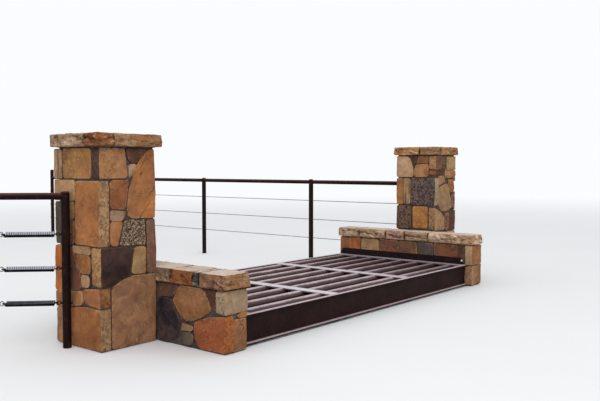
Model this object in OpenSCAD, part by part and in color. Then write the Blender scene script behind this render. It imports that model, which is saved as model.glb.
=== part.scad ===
// Cattle grid of steel pipes between two stone wing walls, each with a capped stone pillar,
// and the first bays of the pipe and cable fences that start at the pillars.
// X runs across the road along the pipes, Y runs along the road, Z is up.
// The origin is on the ground plane, midway between the two walls.

/* [Roadway] */
// Clear width between the two wing walls
clear_w = 4268; // [3600:4:5200]
// Height of the pipe crowns above the foot of the masonry
grid_top = 282; // [260:1:320]

/* [Pipes] */
// Outside diameter of a pipe
pipe_d = 114.3; // [88.9:0.1:141.3]
// Wall of a pipe
pipe_wall = 6; // [4:0.5:9]
// Pipes along the road
pipe_rows = 8; // [6:1:9]
// Distance from one pipe to the next
pipe_pitch = 248.3; // [220:0.1:252]
// Centre of the front pipe along the road
front_pipe_y = -801; // [-810:1:-780]

/* [Beams] */
// Depth of the wide flange beams
beam_h = 266; // [240:1:270]
// Width of a beam flange
beam_w = 148; // [120:1:170]
// Thickness of a beam flange
beam_flange = 13; // [9:0.5:16]
// Thickness of a beam web
beam_web = 7.6; // [6:0.1:10]
// Root radius between web and flange
beam_root = 10; // [6:1:12]
// Gap between an end beam and the masonry
beam_clear = 2; // [1:1:8]
// Centre of the inner beam on the near side
near_beam_x = -735; // [-800:1:-640]
// Centre of the inner beam on the far side
far_beam_x = 668; // [600:1:800]

/* [Edge channels] */
// Flange width of the channels across the front and the back
channel_w = 50; // [40:1:65]
// Web thickness of a channel
channel_web = 8; // [6:0.5:10]
// Flange thickness of a channel
channel_flange = 11; // [8:0.5:13]
// Back of the front channel's web, where the beams butt
front_web_y = -960; // [-975:1:-940]
// Back of the back channel's web, where the beams butt
back_web_y = 1010; // [1000:1:1020]

/* [Kick plates and bearings] */
// Height of a kick plate above the beams
kick_h = 88; // [60:1:110]
// Thickness of a kick plate
kick_t = 10; // [6:1:12]
// Sloping cut at the ends of a kick plate
kick_cut = 45; // [20:1:60]
// Length of a bearing plate along the beam
bearing_l = 200; // [160:5:240]
// Width of the corner plates, which reach past the beam to take an anchor bolt
corner_plate_w = 240; // [210:5:300]
// Anchor holes of the corner plates: distance from centre to centre across the road
anchor_x = 3880; // [3800:10:3900]
// Anchor holes of the corner plates: distance from centre to centre along the road
anchor_y = 1736; // [1600:2:1760]
// Diameter of an anchor hole
anchor_d = 18; // [14:1:20]

/* [Wing walls] */
// Length of a wing wall along the road
wall_l = 2142; // [1900:2:2300]
// Thickness of a wing wall
wall_t = 278; // [240:2:320]
// Height of the wall under its coping
wall_h = 548; // [500:2:600]
// Thickness of the coping
coping_h = 130; // [90:2:150]
// How far the coping stands out over the wall
coping_out = 42; // [20:1:55]
// Mortar joint between two coping or cap stones
stone_joint = 14; // [8:1:20]
// Joints of the near coping, as parts of its length from the front
near_coping_cuts = [0.152, 0.186, 0.319, 0.51, 0.75];
// Joints of the far coping, as parts of its length from the front
far_coping_cuts = [0.313, 0.479, 0.62, 0.823];

/* [Pillars] */
// Width of a pillar across the road
pillar_x = 602; // [540:2:680]
// Width of a pillar along the road
pillar_y = 634; // [560:2:700]
// Height of a pillar under its cap
pillar_h = 1745; // [1600:5:1900]
// Middle of the near pillar along the road
near_pillar_y = 107; // [-200:1:300]
// Middle of the far pillar along the road
far_pillar_y = -55; // [-300:1:200]
// Thickness of a pillar cap
cap_h = 117; // [90:1:140]
// How far a cap stands out over its pillar
cap_out = 50; // [30:1:65]
// Joints of the near cap from the pillar's middle: front cross joint, back cross joint, joint along
near_cap_joints = [-171, 60, -154];
// Joints of the far cap from the pillar's middle: front cross joint, back cross joint, joint along
far_cap_joints = [-187, -40, -94];

/* [Fences] */
// Outside diameter of the posts
post_d = 73; // [60.3:0.1:88.9]
// Outside diameter of the rails
rail_d = 60.3; // [48.3:0.1:73]
// Wall of the posts and rails
tube_wall = 5; // [3:0.5:6]
// Length of a fence bay
fence_bay = 2500; // [2000:10:3000]
// Height of the near fence's rail
near_rail_z = 1318; // [1200:1:1400]
// Height of the far fence's rail
far_rail_z = 1335; // [1200:1:1400]
// How far a post rises over its rail's middle, without its dome
post_rise = 30; // [25:1:60]
// Height of the far fence's corner post
corner_post_h = 1505; // [1400:5:1600]
// Turn of the near fence away from the road's cross line
near_fence_turn = 45; // [0:1:60]
// Gap between the near end post and the pillar
end_post_gap = 24; // [10:1:60]
// Near end post from the middle of its pillar, along the road
end_post_offset = 90; // [0:5:200]
// Distance of the far fence from the road's middle line
far_fence_x = 2470; // [2460:1:2700]
// First post of the far fence along the road
far_first_post_y = 1900; // [1500:10:2400]
// Bays of the far fence beyond its first post
far_bays = 3; // [1:1:3]

/* [Cables and springs] */
// Diameter of a cable
cable_d = 10; // [6:1:14]
// Height of the near fence's lowest cable
near_cable_z = 393; // [300:1:450]
// Height of the far fence's lowest cable
far_cable_z = 438; // [300:1:480]
// Distance from one cable to the next
cable_step = 299; // [250:1:340]
// Outside diameter of a tension spring
spring_d = 40; // [30:1:50]
// Length of one turn of a tension spring
spring_pitch = 12.6; // [9:0.1:14]
// Turns drawn on a tension spring
spring_turns = 34; // [20:1:40]
// Distance from the post's middle to the start of a spring
spring_start = 90; // [70:1:130]
// Outside diameter of the eye between a spring and its cable
eye_d = 46; // [36:1:60]

/* [Hidden] */
$fn = 48;
eps = 1;

half_w = clear_w / 2;
cable_rows = 3;
bearing_t = grid_top - beam_h;
pipe_z = grid_top - pipe_d / 2;
end_beam_x = half_w - beam_clear - beam_w / 2;
beam_x = [-end_beam_x, near_beam_x, far_beam_x, end_beam_x];
back_y = back_web_y + channel_w;
wall_x = half_w + wall_t / 2;
pillar_mid_x = half_w + wall_t + pillar_x / 2;
end_post_x = half_w + wall_t + pillar_x + end_post_gap + post_d / 2;
end_post_y = near_pillar_y + end_post_offset;
spring_l = spring_turns * spring_pitch;

rust = [0.40, 0.31, 0.31];
pale_steel = [0.72, 0.69, 0.72];
dark_steel = [0.22, 0.15, 0.14];
mortar = [0.42, 0.37, 0.35];
tan_stone = [0.68, 0.52, 0.36];
ochre_stone = [0.66, 0.43, 0.22];
spring_black = [0.12, 0.12, 0.16];

// A box centred on X and Y that stands on z
module block(size, at) {
    translate([at[0] - size[0] / 2, at[1] - size[1] / 2, at[2]]) cube(size);
}

// Section of a wide flange beam, standing on y = 0 and centred on x = 0
module beam_section() {
    inner_h = beam_h - 2 * beam_flange;
    translate([-beam_w / 2, 0]) square([beam_w, beam_flange]);
    translate([-beam_w / 2, beam_h - beam_flange]) square([beam_w, beam_flange]);
    translate([-beam_web / 2, beam_flange - eps]) square([beam_web, inner_h + 2 * eps]);
    for (side = [-1, 1], end = [0, 1])
        mirror([side < 0 ? 1 : 0, 0])
            translate([beam_web / 2, end == 0 ? beam_flange : beam_h - beam_flange])
                mirror([0, end]) root_fillet(beam_root);
}

// Concave fillet in the corner at the origin
module root_fillet(r) {
    difference() {
        translate([-eps / 2, -eps / 2]) square(r + eps / 2);
        translate([r, r]) circle(r);
    }
}

// A beam along Y at x
module beam_at(x) {
    translate([x, back_web_y, bearing_t])
        rotate([90, 0, 0])
            linear_extrude(back_web_y - front_web_y) beam_section();
}

// Section of an edge channel: the back of its web is on x = 0, its toes point to +x
module channel_section() {
    square([channel_web, beam_h]);
    for (end = [0, 1])
        translate([0, end * beam_h]) mirror([0, end]) {
            square([channel_w, channel_flange]);
            translate([channel_web, channel_flange]) root_fillet(beam_root);
        }
}

// One of the two channels; out is -1 for the front one and 1 for the back one
module channel_at(y, out) {
    translate([-half_w + beam_clear, y, bearing_t])
        mirror([0, out < 0 ? 1 : 0, 0])
            rotate([90, 0, 90])
                linear_extrude(clear_w - 2 * beam_clear) channel_section();
}

// One row of pipe, cut in three and coped to fit under the flanges and against the webs
module pipe_row(r) {
    y = front_pipe_y + (pipe_rows - r) * pipe_pitch;
    color(rust)
        for (bay = [0:2])
            difference() {
                translate([beam_x[bay], y, pipe_z]) rotate([0, 90, 0])
                    difference() {
                        cylinder(h = beam_x[bay + 1] - beam_x[bay], d = pipe_d);
                        translate([0, 0, -eps])
                            cylinder(h = beam_x[bay + 1] - beam_x[bay] + 2 * eps,
                                d = pipe_d - 2 * pipe_wall);
                    }
                for (end = [0, 1])
                    translate([beam_x[bay + end], y + pipe_d, bearing_t])
                        rotate([90, 0, 0])
                            linear_extrude(2 * pipe_d) beam_section();
            }
}

// Plate that stands on an end beam against a wall, its top corners cut on a slope
module kick_plate(side) {
    foot_l = back_y - front_web_y;
    color(dark_steel)
        translate([side > 0 ? half_w - kick_t : -half_w, front_web_y, grid_top])
            rotate([90, 0, 90])
                linear_extrude(kick_t)
                    polygon([[0, 0], [foot_l, 0], [foot_l - kick_cut, kick_h],
                        [kick_cut, kick_h]]);
}

// Plates under both ends of every beam; the four at the corners are anchored to the footing
module bearing_plates() {
    corner_x = half_w - beam_clear - corner_plate_w / 2;
    ends_y = [front_web_y + bearing_l / 2, back_web_y - bearing_l / 2];
    color(rust) {
        for (x = [near_beam_x, far_beam_x], y = ends_y)
            block([beam_w, bearing_l, bearing_t], [x, y, 0]);
        for (side = [-1, 1], end = [0, 1])
            difference() {
                block([corner_plate_w, bearing_l, bearing_t], [side * corner_x, ends_y[end], 0]);
                translate([side * anchor_x / 2, (end == 0 ? -1 : 1) * anchor_y / 2, -eps])
                    cylinder(h = bearing_t + 2 * eps, d = anchor_d);
            }
    }
}

// Masonry of a wing wall below its coping
module wing_wall(side) {
    color(mortar) block([wall_t, wall_l, wall_h], [side * wall_x, 0, 0]);
}

// A rock-faced slab from corner a to corner b: its foot is drawn in and its top edge is rounded off
module capstone(a, b, h, open_faces) {
    size = b - a;
    draw = 12;
    top_cut = 16;
    lo = [for (i = [0, 1]) open_faces[i][0] ? draw : 0];
    hi = [for (i = [0, 1]) open_faces[i][1] ? draw : 0];
    tlo = [for (i = [0, 1]) open_faces[i][0] ? top_cut : 0];
    thi = [for (i = [0, 1]) open_faces[i][1] ? top_cut : 0];
    translate([a[0], a[1], 0])
        hull() {
            translate([lo[0], lo[1], 0])
                cube([size[0] - lo[0] - hi[0], size[1] - lo[1] - hi[1], h]);
            translate([0, 0, h * 0.25]) cube([size[0], size[1], h * 0.55]);
            translate([tlo[0], tlo[1], 0])
                cube([size[0] - tlo[0] - thi[0], size[1] - tlo[1] - thi[1], h]);
        }
}

// Coping of a wall: slabs side by side, split at the given parts of its length and cut round the pillar
module coping(side, cuts, pier_y) {
    full_l = wall_l + 2 * coping_out;
    full_w = wall_t + 2 * coping_out;
    edges = concat([0], cuts, [1]);
    color(tan_stone)
        difference() {
            translate([side * wall_x, -full_l / 2, wall_h])
                for (i = [0:len(edges) - 2]) {
                    y0 = edges[i] * full_l + (i == 0 ? 0 : stone_joint / 2);
                    y1 = edges[i + 1] * full_l - (i == len(edges) - 2 ? 0 : stone_joint / 2);
                    capstone([-full_w / 2, y0], [full_w / 2, y1], coping_h,
                        [[true, true], [i == 0, i == len(edges) - 2]]);
                }
            block([pillar_x, pillar_y, pillar_h], [side * pillar_mid_x, pier_y, 0]);
        }
}

// Masonry of a pillar below its cap
module pillar(side, y) {
    color(mortar) block([pillar_x, pillar_y, pillar_h], [side * pillar_mid_x, y, 0]);
}

// Cap of four slabs with the given joints between them
module pillar_cap(side, y, joints) {
    hx = pillar_x / 2 + cap_out;
    hy = pillar_y / 2 + cap_out;
    j = stone_joint / 2;
    color(ochre_stone)
        translate([side * pillar_mid_x, y, pillar_h]) {
            capstone([-hx, -hy], [joints[0] - j, joints[2] - j], cap_h, [[true, false], [true, false]]);
            capstone([joints[0] + j, -hy], [hx, joints[2] - j], cap_h, [[false, true], [true, false]]);
            capstone([-hx, joints[2] + j], [joints[1] - j, hy], cap_h, [[true, false], [false, true]]);
            capstone([joints[1] + j, joints[2] + j], [hx, hy], cap_h, [[false, true], [false, true]]);
        }
}

// Moves its children to the near fence's end post, with +X out along the fence
module near_fence_frame() {
    translate([-end_post_x, end_post_y, 0]) rotate([0, 0, 180 - near_fence_turn]) children();
}

// Post of height h with a domed cap, open at its foot; its cable holes run along X
module domed_post(h, first_cable) {
    dome_h = 16;
    steps = 9;
    r = post_d / 2;
    dome = [for (i = [0:steps]) [r * cos(90 * i / steps), h + dome_h * sin(90 * i / steps)]];
    difference() {
        rotate_extrude()
            difference() {
                polygon(concat([[0, 0], [r, 0]], dome));
                translate([-eps, -eps]) square([r - tube_wall + eps, h - tube_wall + eps]);
            }
        for (i = [0:cable_rows - 1])
            translate([-post_d, 0, first_cable + i * cable_step]) rotate([0, 90, 0])
                cylinder(h = 2 * post_d, d = cable_d + 4);
    }
}

// A rail along X from a to b, its ends coped round the posts that stand at the places given
module coped_rail(a, b, z, posts) {
    difference() {
        translate([a, 0, z]) rotate([0, 90, 0])
            difference() {
                cylinder(h = b - a, d = rail_d);
                translate([0, 0, -eps]) cylinder(h = b - a + 2 * eps, d = rail_d - 2 * tube_wall);
            }
        for (x = posts)
            translate([x, 0, z - post_d]) cylinder(h = 2 * post_d, d = post_d);
    }
}

// A taut cable along X from a to b, with a swaged sleeve on its end at b
module cable(a, b) {
    sleeve_l = 42;
    rotate([0, 90, 0]) {
        translate([0, 0, a]) cylinder(h = b - a, d = cable_d);
        translate([0, 0, b - 6]) cylinder(h = sleeve_l, d = 2 * cable_d);
    }
}

module near_end_post() {
    color(dark_steel) near_fence_frame() domed_post(near_rail_z + post_rise, near_cable_z);
}

module near_line_post() {
    color(dark_steel) near_fence_frame() translate([fence_bay, 0, 0])
        domed_post(near_rail_z + post_rise, near_cable_z);
}

module near_rail() {
    color(dark_steel) near_fence_frame() coped_rail(0, fence_bay, near_rail_z, [0, fence_bay]);
}

module near_cables() {
    start = spring_start + spring_l + eye_d;
    color(spring_black) near_fence_frame()
        for (i = [0:cable_rows - 1])
            translate([0, 0, near_cable_z + i * cable_step]) cable(start, fence_bay + post_d / 2 + 6);
}

// A close-wound tension spring along X, its turns as ribs
module tension_spring() {
    turn = spring_l / spring_turns;
    core_r = spring_d / 2 - turn / 2;
    rotate([0, 90, 0])
        rotate_extrude()
            union() {
                square([core_r, spring_l]);
                for (t = [0:spring_turns - 1])
                    translate([core_r, (t + 0.5) * turn]) circle(d = turn, $fn = 16);
            }
}

// Springs, each held by a bolt that runs through the end post to a nut on its other side
module near_springs() {
    nut_h = 12;
    color(spring_black) near_fence_frame()
        for (i = [0:cable_rows - 1])
            translate([0, 0, near_cable_z + i * cable_step]) {
                translate([spring_start, 0, 0]) tension_spring();
                translate([-post_d / 2 - nut_h, 0, 0]) rotate([0, 90, 0]) {
                    cylinder(h = post_d / 2 + nut_h + spring_start + eps, d = cable_d);
                    cylinder(h = nut_h, d = 22, $fn = 6);
                }
            }
}

// Round eyes that join the springs to the cables
module near_cable_eyes() {
    eye_bar = 9;
    color(spring_black) near_fence_frame()
        for (i = [0:cable_rows - 1])
            translate([spring_start + spring_l + eye_d / 2, 0, near_cable_z + i * cable_step])
                rotate([90, 0, 0])
                    rotate_extrude()
                        translate([(eye_d - eye_bar) / 2, 0]) circle(d = eye_bar, $fn = 24);
}

// Moves its children to the foot of the far fence at the pillar, with +X along the fence
module far_fence_frame() {
    translate([far_fence_x, 0, 0]) rotate([0, 0, 90]) children();
}

// Place of a far fence post along the road
function far_post_y(n) = far_first_post_y + (n - 1) * fence_bay;

module far_post(n) {
    h = n > far_bays ? corner_post_h : far_rail_z + post_rise;
    color(dark_steel) far_fence_frame() translate([far_post_y(n), 0, 0])
        domed_post(h, far_cable_z);
}

// Rail of the far fence, one length from post to post, the first one let into the pillar's face
module far_rail() {
    pillar_back = far_pillar_y + pillar_y / 2;
    stops = concat([pillar_back], [for (n = [1:far_bays + 1]) far_post_y(n)]);
    color(dark_steel) far_fence_frame()
        for (i = [0:len(stops) - 2])
            coped_rail(stops[i], stops[i + 1], far_rail_z,
                i == 0 ? [stops[1]] : [stops[i], stops[i + 1]]);
}

module far_cables() {
    pillar_back = far_pillar_y + pillar_y / 2;
    color(spring_black) far_fence_frame()
        for (i = [0:cable_rows - 1])
            translate([0, 0, far_cable_z + i * cable_step])
                cable(pillar_back, far_post_y(far_bays + 1) + post_d / 2 + 6);
}

for (r = [1:pipe_rows])
    pipe_row(r);
color(pale_steel) beam_at(beam_x[0]);  // near_end_beam
color(pale_steel) beam_at(beam_x[1]);  // near_stringer
color(pale_steel) beam_at(beam_x[2]);  // far_stringer
color(pale_steel) beam_at(beam_x[3]);  // far_end_beam
color(rust) channel_at(front_web_y, -1);  // front_channel
color(rust) channel_at(back_web_y, 1);  // back_channel
kick_plate(-1);  // near_kick_plate
kick_plate(1);  // far_kick_plate
bearing_plates();
wing_wall(-1);  // near_wall
wing_wall(1);  // far_wall
coping(-1, near_coping_cuts, near_pillar_y);  // near_coping
coping(1, far_coping_cuts, far_pillar_y);  // far_coping
pillar(-1, near_pillar_y);  // near_pillar
pillar(1, far_pillar_y);  // far_pillar
pillar_cap(-1, near_pillar_y, near_cap_joints);  // near_pillar_cap
pillar_cap(1, far_pillar_y, far_cap_joints);  // far_pillar_cap
near_end_post();
near_line_post();
near_rail();
near_cables();
near_springs();
near_cable_eyes();
far_post(1);  // far_post_1
far_post(2);  // far_post_2
far_post(3);  // far_post_3
far_post(4);  // far_post_4
far_rail();
far_cables();
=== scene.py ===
# %% [markdown]
# # A cattle grid between stone wing walls
#
# The finished object is a steel grid that lets cars through and stops cattle. It lies between two low walls
# of sandstone, with a capped pillar on the outer side of each wall and a pipe fence running off from each
# pillar. The steel comes in as a frame from the CAD model, with every size right. This file dresses it: it
# lays the walls stone by stone, gives the steel its finish of wear and painted light and shade, winds the
# fence springs and sets the light.

import math
import random

import bmesh
import bpy
from mathutils import Matrix, Vector


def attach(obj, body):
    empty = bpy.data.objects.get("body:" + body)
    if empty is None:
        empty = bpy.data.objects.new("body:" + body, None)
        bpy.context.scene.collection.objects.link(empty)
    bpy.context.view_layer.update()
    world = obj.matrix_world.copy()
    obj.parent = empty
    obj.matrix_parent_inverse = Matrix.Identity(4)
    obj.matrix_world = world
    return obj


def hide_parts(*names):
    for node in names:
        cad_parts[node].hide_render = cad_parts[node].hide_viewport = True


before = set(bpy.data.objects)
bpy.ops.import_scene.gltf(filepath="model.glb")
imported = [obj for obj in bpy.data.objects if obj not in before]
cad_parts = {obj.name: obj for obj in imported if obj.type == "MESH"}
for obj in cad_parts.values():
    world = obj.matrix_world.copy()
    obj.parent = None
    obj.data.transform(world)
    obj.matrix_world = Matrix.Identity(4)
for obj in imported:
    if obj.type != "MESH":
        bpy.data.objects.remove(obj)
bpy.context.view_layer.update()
print("CAD nodes:", len(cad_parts))

# %% [markdown]
# ## The camera
#
# A camera can be placed by eye or worked out from edges whose real place is known. Here it was worked out:
# it stands at eye height, a little to the left of the grid and in front of it, and looks down by under
# three degrees. It comes first, because everything after it is judged through it.

# %% Set up the camera
EYE = (-6.584, -5.304, 1.563)
LOOK_DOWN = 2.607
TURN = 50.615
LENS = 43.205

camera = bpy.data.objects.new("eye", bpy.data.cameras.new("eye"))
bpy.context.scene.collection.objects.link(camera)
camera.location = EYE
camera.rotation_euler = (math.radians(90 - LOOK_DOWN), 0, math.radians(-TURN))
camera.data.sensor_width = 36
camera.data.lens = LENS
camera.data.clip_end = 300
bpy.context.scene.camera = camera
print("camera stands at", EYE)

# %% [markdown]
# ## Small tools for modelling
#
# Every piece below starts as a primitive and is shaped with the edit tools, as it would be by hand. The CAD
# nodes come in selected, and a tool acts on all that is selected, so each piece starts by letting go of
# everything. Loop cuts need a window, so a slab gets its grid by subdividing all edges that run one way,
# which cuts every quad straight across, just as a loop cut would.

# %% Selecting, cutting and joining
SAME_POINT = 0.0002
LAYER_SLOPE = (0.35, 0.25, 0)


def let_go():
    """Leaves edit mode and selects nothing."""
    if bpy.context.object and bpy.context.object.mode != "OBJECT":
        bpy.ops.object.mode_set(mode="OBJECT")
    bpy.ops.object.select_all(action="DESELECT")


def settle(piece):
    """Writes the place of a piece into its mesh."""
    bpy.ops.object.select_all(action="DESELECT")
    piece.select_set(True)
    bpy.context.view_layer.objects.active = piece
    bpy.ops.object.transform_apply(location=True, rotation=True, scale=True)


def add(primitive, **sizes):
    """A new primitive at its size and place."""
    let_go()
    primitive(**sizes)
    piece = bpy.context.object
    settle(piece)
    return piece


def start_slab(low, high, cell):
    """A box from corner low to corner high, cut into cells of about the size given, left in edit mode."""
    size = [high[i] - low[i] for i in range(3)]
    middle = [(high[i] + low[i]) / 2 for i in range(3)]
    slab = add(bpy.ops.mesh.primitive_cube_add, size=1, location=middle, scale=size)
    bpy.ops.object.mode_set(mode="EDIT")
    bpy.ops.mesh.select_mode(type="EDGE")
    for axis in range(3):
        cuts = round(size[axis] / cell) - 1
        if cuts > 0:
            bpy.ops.mesh.select_all(action="DESELECT")
            mesh = bmesh.from_edit_mesh(slab.data)
            for edge in mesh.edges:
                way = edge.verts[1].co - edge.verts[0].co
                edge.select = abs(way[axis]) > 0.9 * way.length
            bmesh.update_edit_mesh(slab.data)
            bpy.ops.mesh.subdivide(number_cuts=cuts)
    return slab


def trim(point, outward):
    """Cuts away what lies beyond a plane of the piece in edit mode, and closes the cut."""
    bpy.ops.mesh.select_all(action="SELECT")
    bpy.ops.mesh.bisect(plane_co=point, plane_no=outward, use_fill=True, clear_outer=True)


def close_up():
    """Leaves edit mode with no hole left in the piece and all its faces turned outward."""
    bpy.ops.mesh.select_mode(type="EDGE")
    bpy.ops.mesh.select_all(action="SELECT")
    bpy.ops.mesh.remove_doubles(threshold=SAME_POINT)
    bpy.ops.mesh.select_all(action="DESELECT")
    bpy.ops.mesh.select_non_manifold()
    bpy.ops.mesh.fill_holes(sides=0)
    bpy.ops.mesh.select_all(action="SELECT")
    bpy.ops.mesh.normals_make_consistent(inside=False)
    bpy.ops.object.mode_set(mode="OBJECT")


def rename(piece, name):
    """Gives a piece and its mesh one name."""
    piece.name = name
    piece.data.name = name


def join(pieces, name):
    """Makes one object of several."""
    let_go()
    for piece in pieces:
        piece.select_set(True)
    bpy.context.view_layer.objects.active = pieces[0]
    bpy.ops.object.join()
    joined = bpy.context.object
    rename(joined, name)
    return joined


def make_real(piece, modifier):
    """Turns what a modifier does to a piece into real mesh."""
    bpy.context.view_layer.objects.active = piece
    bpy.ops.object.modifier_apply(modifier=modifier.name)


def bevel_edges(piece, width):
    """Takes the sharp edges off a piece."""
    soft = piece.modifiers.new("soft", "BEVEL")
    soft.width = width
    soft.segments = 2
    make_real(piece, soft)


def roughen(piece, size, depth, middle=0.5, group="", hard=False, flat=1.0):
    """Moves the surface in and out by a cloudy pattern. A hard pattern has sharp creases, and a flat one is
    squeezed in height, so that its creases run along the bed."""
    let_go()
    bpy.ops.object.empty_add(location=(0, 0, 0), rotation=LAYER_SLOPE if flat < 1 else (0, 0, 0))
    guide = bpy.context.object
    guide.scale = (1, 1, flat)
    pattern = bpy.data.textures.new(piece.name + "_relief", "CLOUDS")
    pattern.noise_scale = size
    pattern.noise_type = "HARD_NOISE" if hard else "SOFT_NOISE"
    relief = piece.modifiers.new("relief", "DISPLACE")
    relief.texture = pattern
    relief.texture_coords = "OBJECT"
    relief.texture_coords_object = guide
    relief.strength = depth
    relief.mid_level = middle
    relief.vertex_group = group
    make_real(piece, relief)
    bpy.data.objects.remove(guide)


def press_in(piece, depth, group):
    """Pushes a group of points straight in."""
    press = piece.modifiers.new("press", "DISPLACE")
    press.strength = -depth
    press.mid_level = 0.0
    press.vertex_group = group
    make_real(piece, press)


def weigh(piece, group, amounts):
    """A named group of all the points of a piece, each with its own amount, for a relief to go by."""
    points = piece.vertex_groups.new(name=group)
    for index, amount in enumerate(amounts):
        points.add([index], amount, "REPLACE")


def note(piece, name, amounts):
    """Stores a number for each point of a piece, so that a finish can colour by it."""
    piece.data.attributes.new(name, "FLOAT", "POINT").data.foreach_set("value", amounts)


def note_shade(piece, shade):
    """Stores one number for a whole piece, on its faces."""
    faces = len(piece.data.polygons)
    piece.data.attributes.new("shade", "FLOAT", "FACE").data.foreach_set("value", [shade] * faces)


def surface_of(piece):
    """The place and the normal of each point of a piece."""
    return [(vertex.co.copy(), vertex.normal.copy()) for vertex in piece.data.vertices]


def note_hollows(piece, before, least, most):
    """Stores how far each point was pushed in since before, as 0 at least and 1 at most."""
    amounts = []
    for vertex, (place, normal) in zip(piece.data.vertices, before):
        inward = (place - vertex.co).dot(normal)
        amounts.append(min(1.0, max(0.0, (inward - least) / (most - least))))
    note(piece, "hollow", amounts)


def smooth(piece, degrees):
    """Shades a piece smooth, apart from the edges that are sharper than the angle given."""
    let_go()
    piece.select_set(True)
    bpy.context.view_layer.objects.active = piece
    bpy.ops.object.shade_smooth_by_angle(angle=math.radians(degrees))


def hand_over(piece, slot, *nodes):
    """Fixes a piece to the frame and lets it stand for the CAD nodes named. The slot given is not used."""
    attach(piece, "root")
    for node in nodes:
        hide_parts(node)


# %% [markdown]
# ## Shader maths as plain expressions
#
# A finish is a chain of nodes, and a chain is easier to read as a sum. The class below wraps a socket, so
# that `0.8 + grain * 0.1` adds the two Math nodes by itself. Colours are mixed with a Mix node, since a
# Math node would turn them grey. Any other node comes from `node`, which takes its type, its settings and
# its inputs.

# %% A wrapped socket
class Value:
    """A socket of a material, which works in sums."""

    def __init__(self, tree, socket):
        self.tree = tree
        self.socket = socket

    def node(self, kind, settings, inputs, output=0):
        made = self.tree.nodes.new(kind)
        for key, setting in settings.items():
            setattr(made, key, setting)
        for key, value in inputs.items():
            if isinstance(value, Value):
                self.tree.links.new(value.socket, made.inputs[key])
            else:
                made.inputs[key].default_value = value
        return Value(self.tree, made.outputs[output] if made.outputs else None)

    def maths(self, operation, first, second=0.0):
        return self.node("ShaderNodeMath", {"operation": operation}, {0: first, 1: second})

    def __add__(self, other):
        return self.maths("ADD", self, other)

    def __radd__(self, other):
        return self.maths("ADD", other, self)

    def __sub__(self, other):
        return self.maths("SUBTRACT", self, other)

    def __rsub__(self, other):
        return self.maths("SUBTRACT", other, self)

    def __mul__(self, other):
        return self.maths("MULTIPLY", self, other)

    def __rmul__(self, other):
        return self.maths("MULTIPLY", other, self)

    def steps(self, low, high):
        """0 below low, 1 above high, and a soft step between them."""
        return self.node("ShaderNodeMapRange", {"interpolation_type": "SMOOTHSTEP"},
                         {"Value": self, "From Min": low, "From Max": high})

    def blend(self, first, second):
        """first where this value is 0, second where it is 1."""
        return self.node("ShaderNodeMix", {"data_type": "RGBA"}, {0: self, 6: first, 7: second}, output=2)

    def noise(self, scale, detail=3.0, rough=0.5, twist=0.0):
        """Cloudy noise over this place."""
        return self.node("ShaderNodeTexNoise", {},
                         {"Vector": self, "Scale": scale, "Detail": detail, "Roughness": rough,
                          "Distortion": twist})

    def line(self, width):
        """1 on the thin line where this noise crosses its middle, 0 elsewhere."""
        away = self.maths("ABSOLUTE", self - 0.5)
        return 1 - away.steps(width * 0.3, width)

    def in_layers(self, thin, turn):
        """This place, squeezed one way so that noise over it runs in layers, and turned to their slope."""
        return self.node("ShaderNodeMapping", {"vector_type": "TEXTURE"},
                         {"Vector": self, "Rotation": turn, "Scale": (1, 1, thin)})

    def attribute(self, name):
        """A number stored in the mesh."""
        return self.node("ShaderNodeAttribute", {"attribute_name": name}, {}, output=2)

    def part(self, axis):
        """One of the three numbers of a place, 0 for X, 1 for Y and 2 for Z."""
        return self.node("ShaderNodeSeparateXYZ", {}, {0: self}, output=axis)

    def upward(self):
        """How much the surface looks up: 1 on top, 0 on a wall, -1 underneath."""
        return self.node("ShaderNodeNewGeometry", {}, {}, output=1).part(2)

    def dimmed(self, colour):
        """A colour, made as much lighter or darker as this value says."""
        return self.node("ShaderNodeVectorMath", {"operation": "SCALE"}, {0: colour, "Scale": self})


# %% Colours, and how a finish starts and ends
def srgb(red, green, blue):
    """A colour as read off a screen, 0 to 255, as the linear values that a shader wants."""
    linear = []
    for part in (red, green, blue):
        part = part / 255
        linear.append(part / 12.92 if part <= 0.04045 else ((part + 0.055) / 1.055) ** 2.4)
    return (*linear, 1.0)


def begin_finish(name):
    """An empty material, and the place on the object in metres."""
    finish = bpy.data.materials.new(name)
    finish.use_nodes = True
    finish.node_tree.nodes.clear()
    place = Value(finish.node_tree, None).node("ShaderNodeTexCoord", {}, {}, output=3)
    return finish, place


def end_finish(finish, place, colour, roughness, bump, depth, metal=0.0, gloss=0.5):
    """Joins the parts of a finish into its surface shader. depth is how deep the bump reads, in metres."""
    normal = place.node("ShaderNodeBump", {}, {"Height": bump, "Distance": depth, "Strength": 1.0})
    shader = place.node("ShaderNodeBsdfPrincipled", {},
                        {"Base Color": colour, "Roughness": roughness, "Metallic": metal, "Normal": normal,
                         "Specular IOR Level": gloss})
    place.node("ShaderNodeOutputMaterial", {}, {"Surface": shader})
    return finish


# %% [markdown]
# ## The rock
#
# The stones are flat slabs of sandstone, laid with their iron-stained beds to the outside. No two have the
# same colour, yet fewer than forty kinds of rock are enough: ochre, orange, rust, tan, cream and so on for
# the beds, and a few more for broken ends. A bed has two main colours in slow blotches, darker flecks, pale
# sand, pits, thin cracks and layers. Each stone also carries a number of its own, `shade`, which turns and
# shifts the pattern and makes the stone a little lighter or darker, so two stones of one kind never look
# alike.

# %% Sandstone finishes
PALE = srgb(186, 156, 118)
AGED = srgb(122, 92, 80)


def spot_of(place):
    """The place on a stone, turned and moved by the stone's own number, and that number."""
    shade = place.attribute("shade")
    turned = place.node("ShaderNodeVectorRotate", {},
                        {"Vector": place, "Axis": (0.6, 0.7, 0.3), "Angle": shade * 2.4})
    apart = shade.dimmed((31.0, 57.0, 43.0))
    return place.node("ShaderNodeVectorMath", {"operation": "ADD"}, {0: turned, 1: apart}), shade


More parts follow.
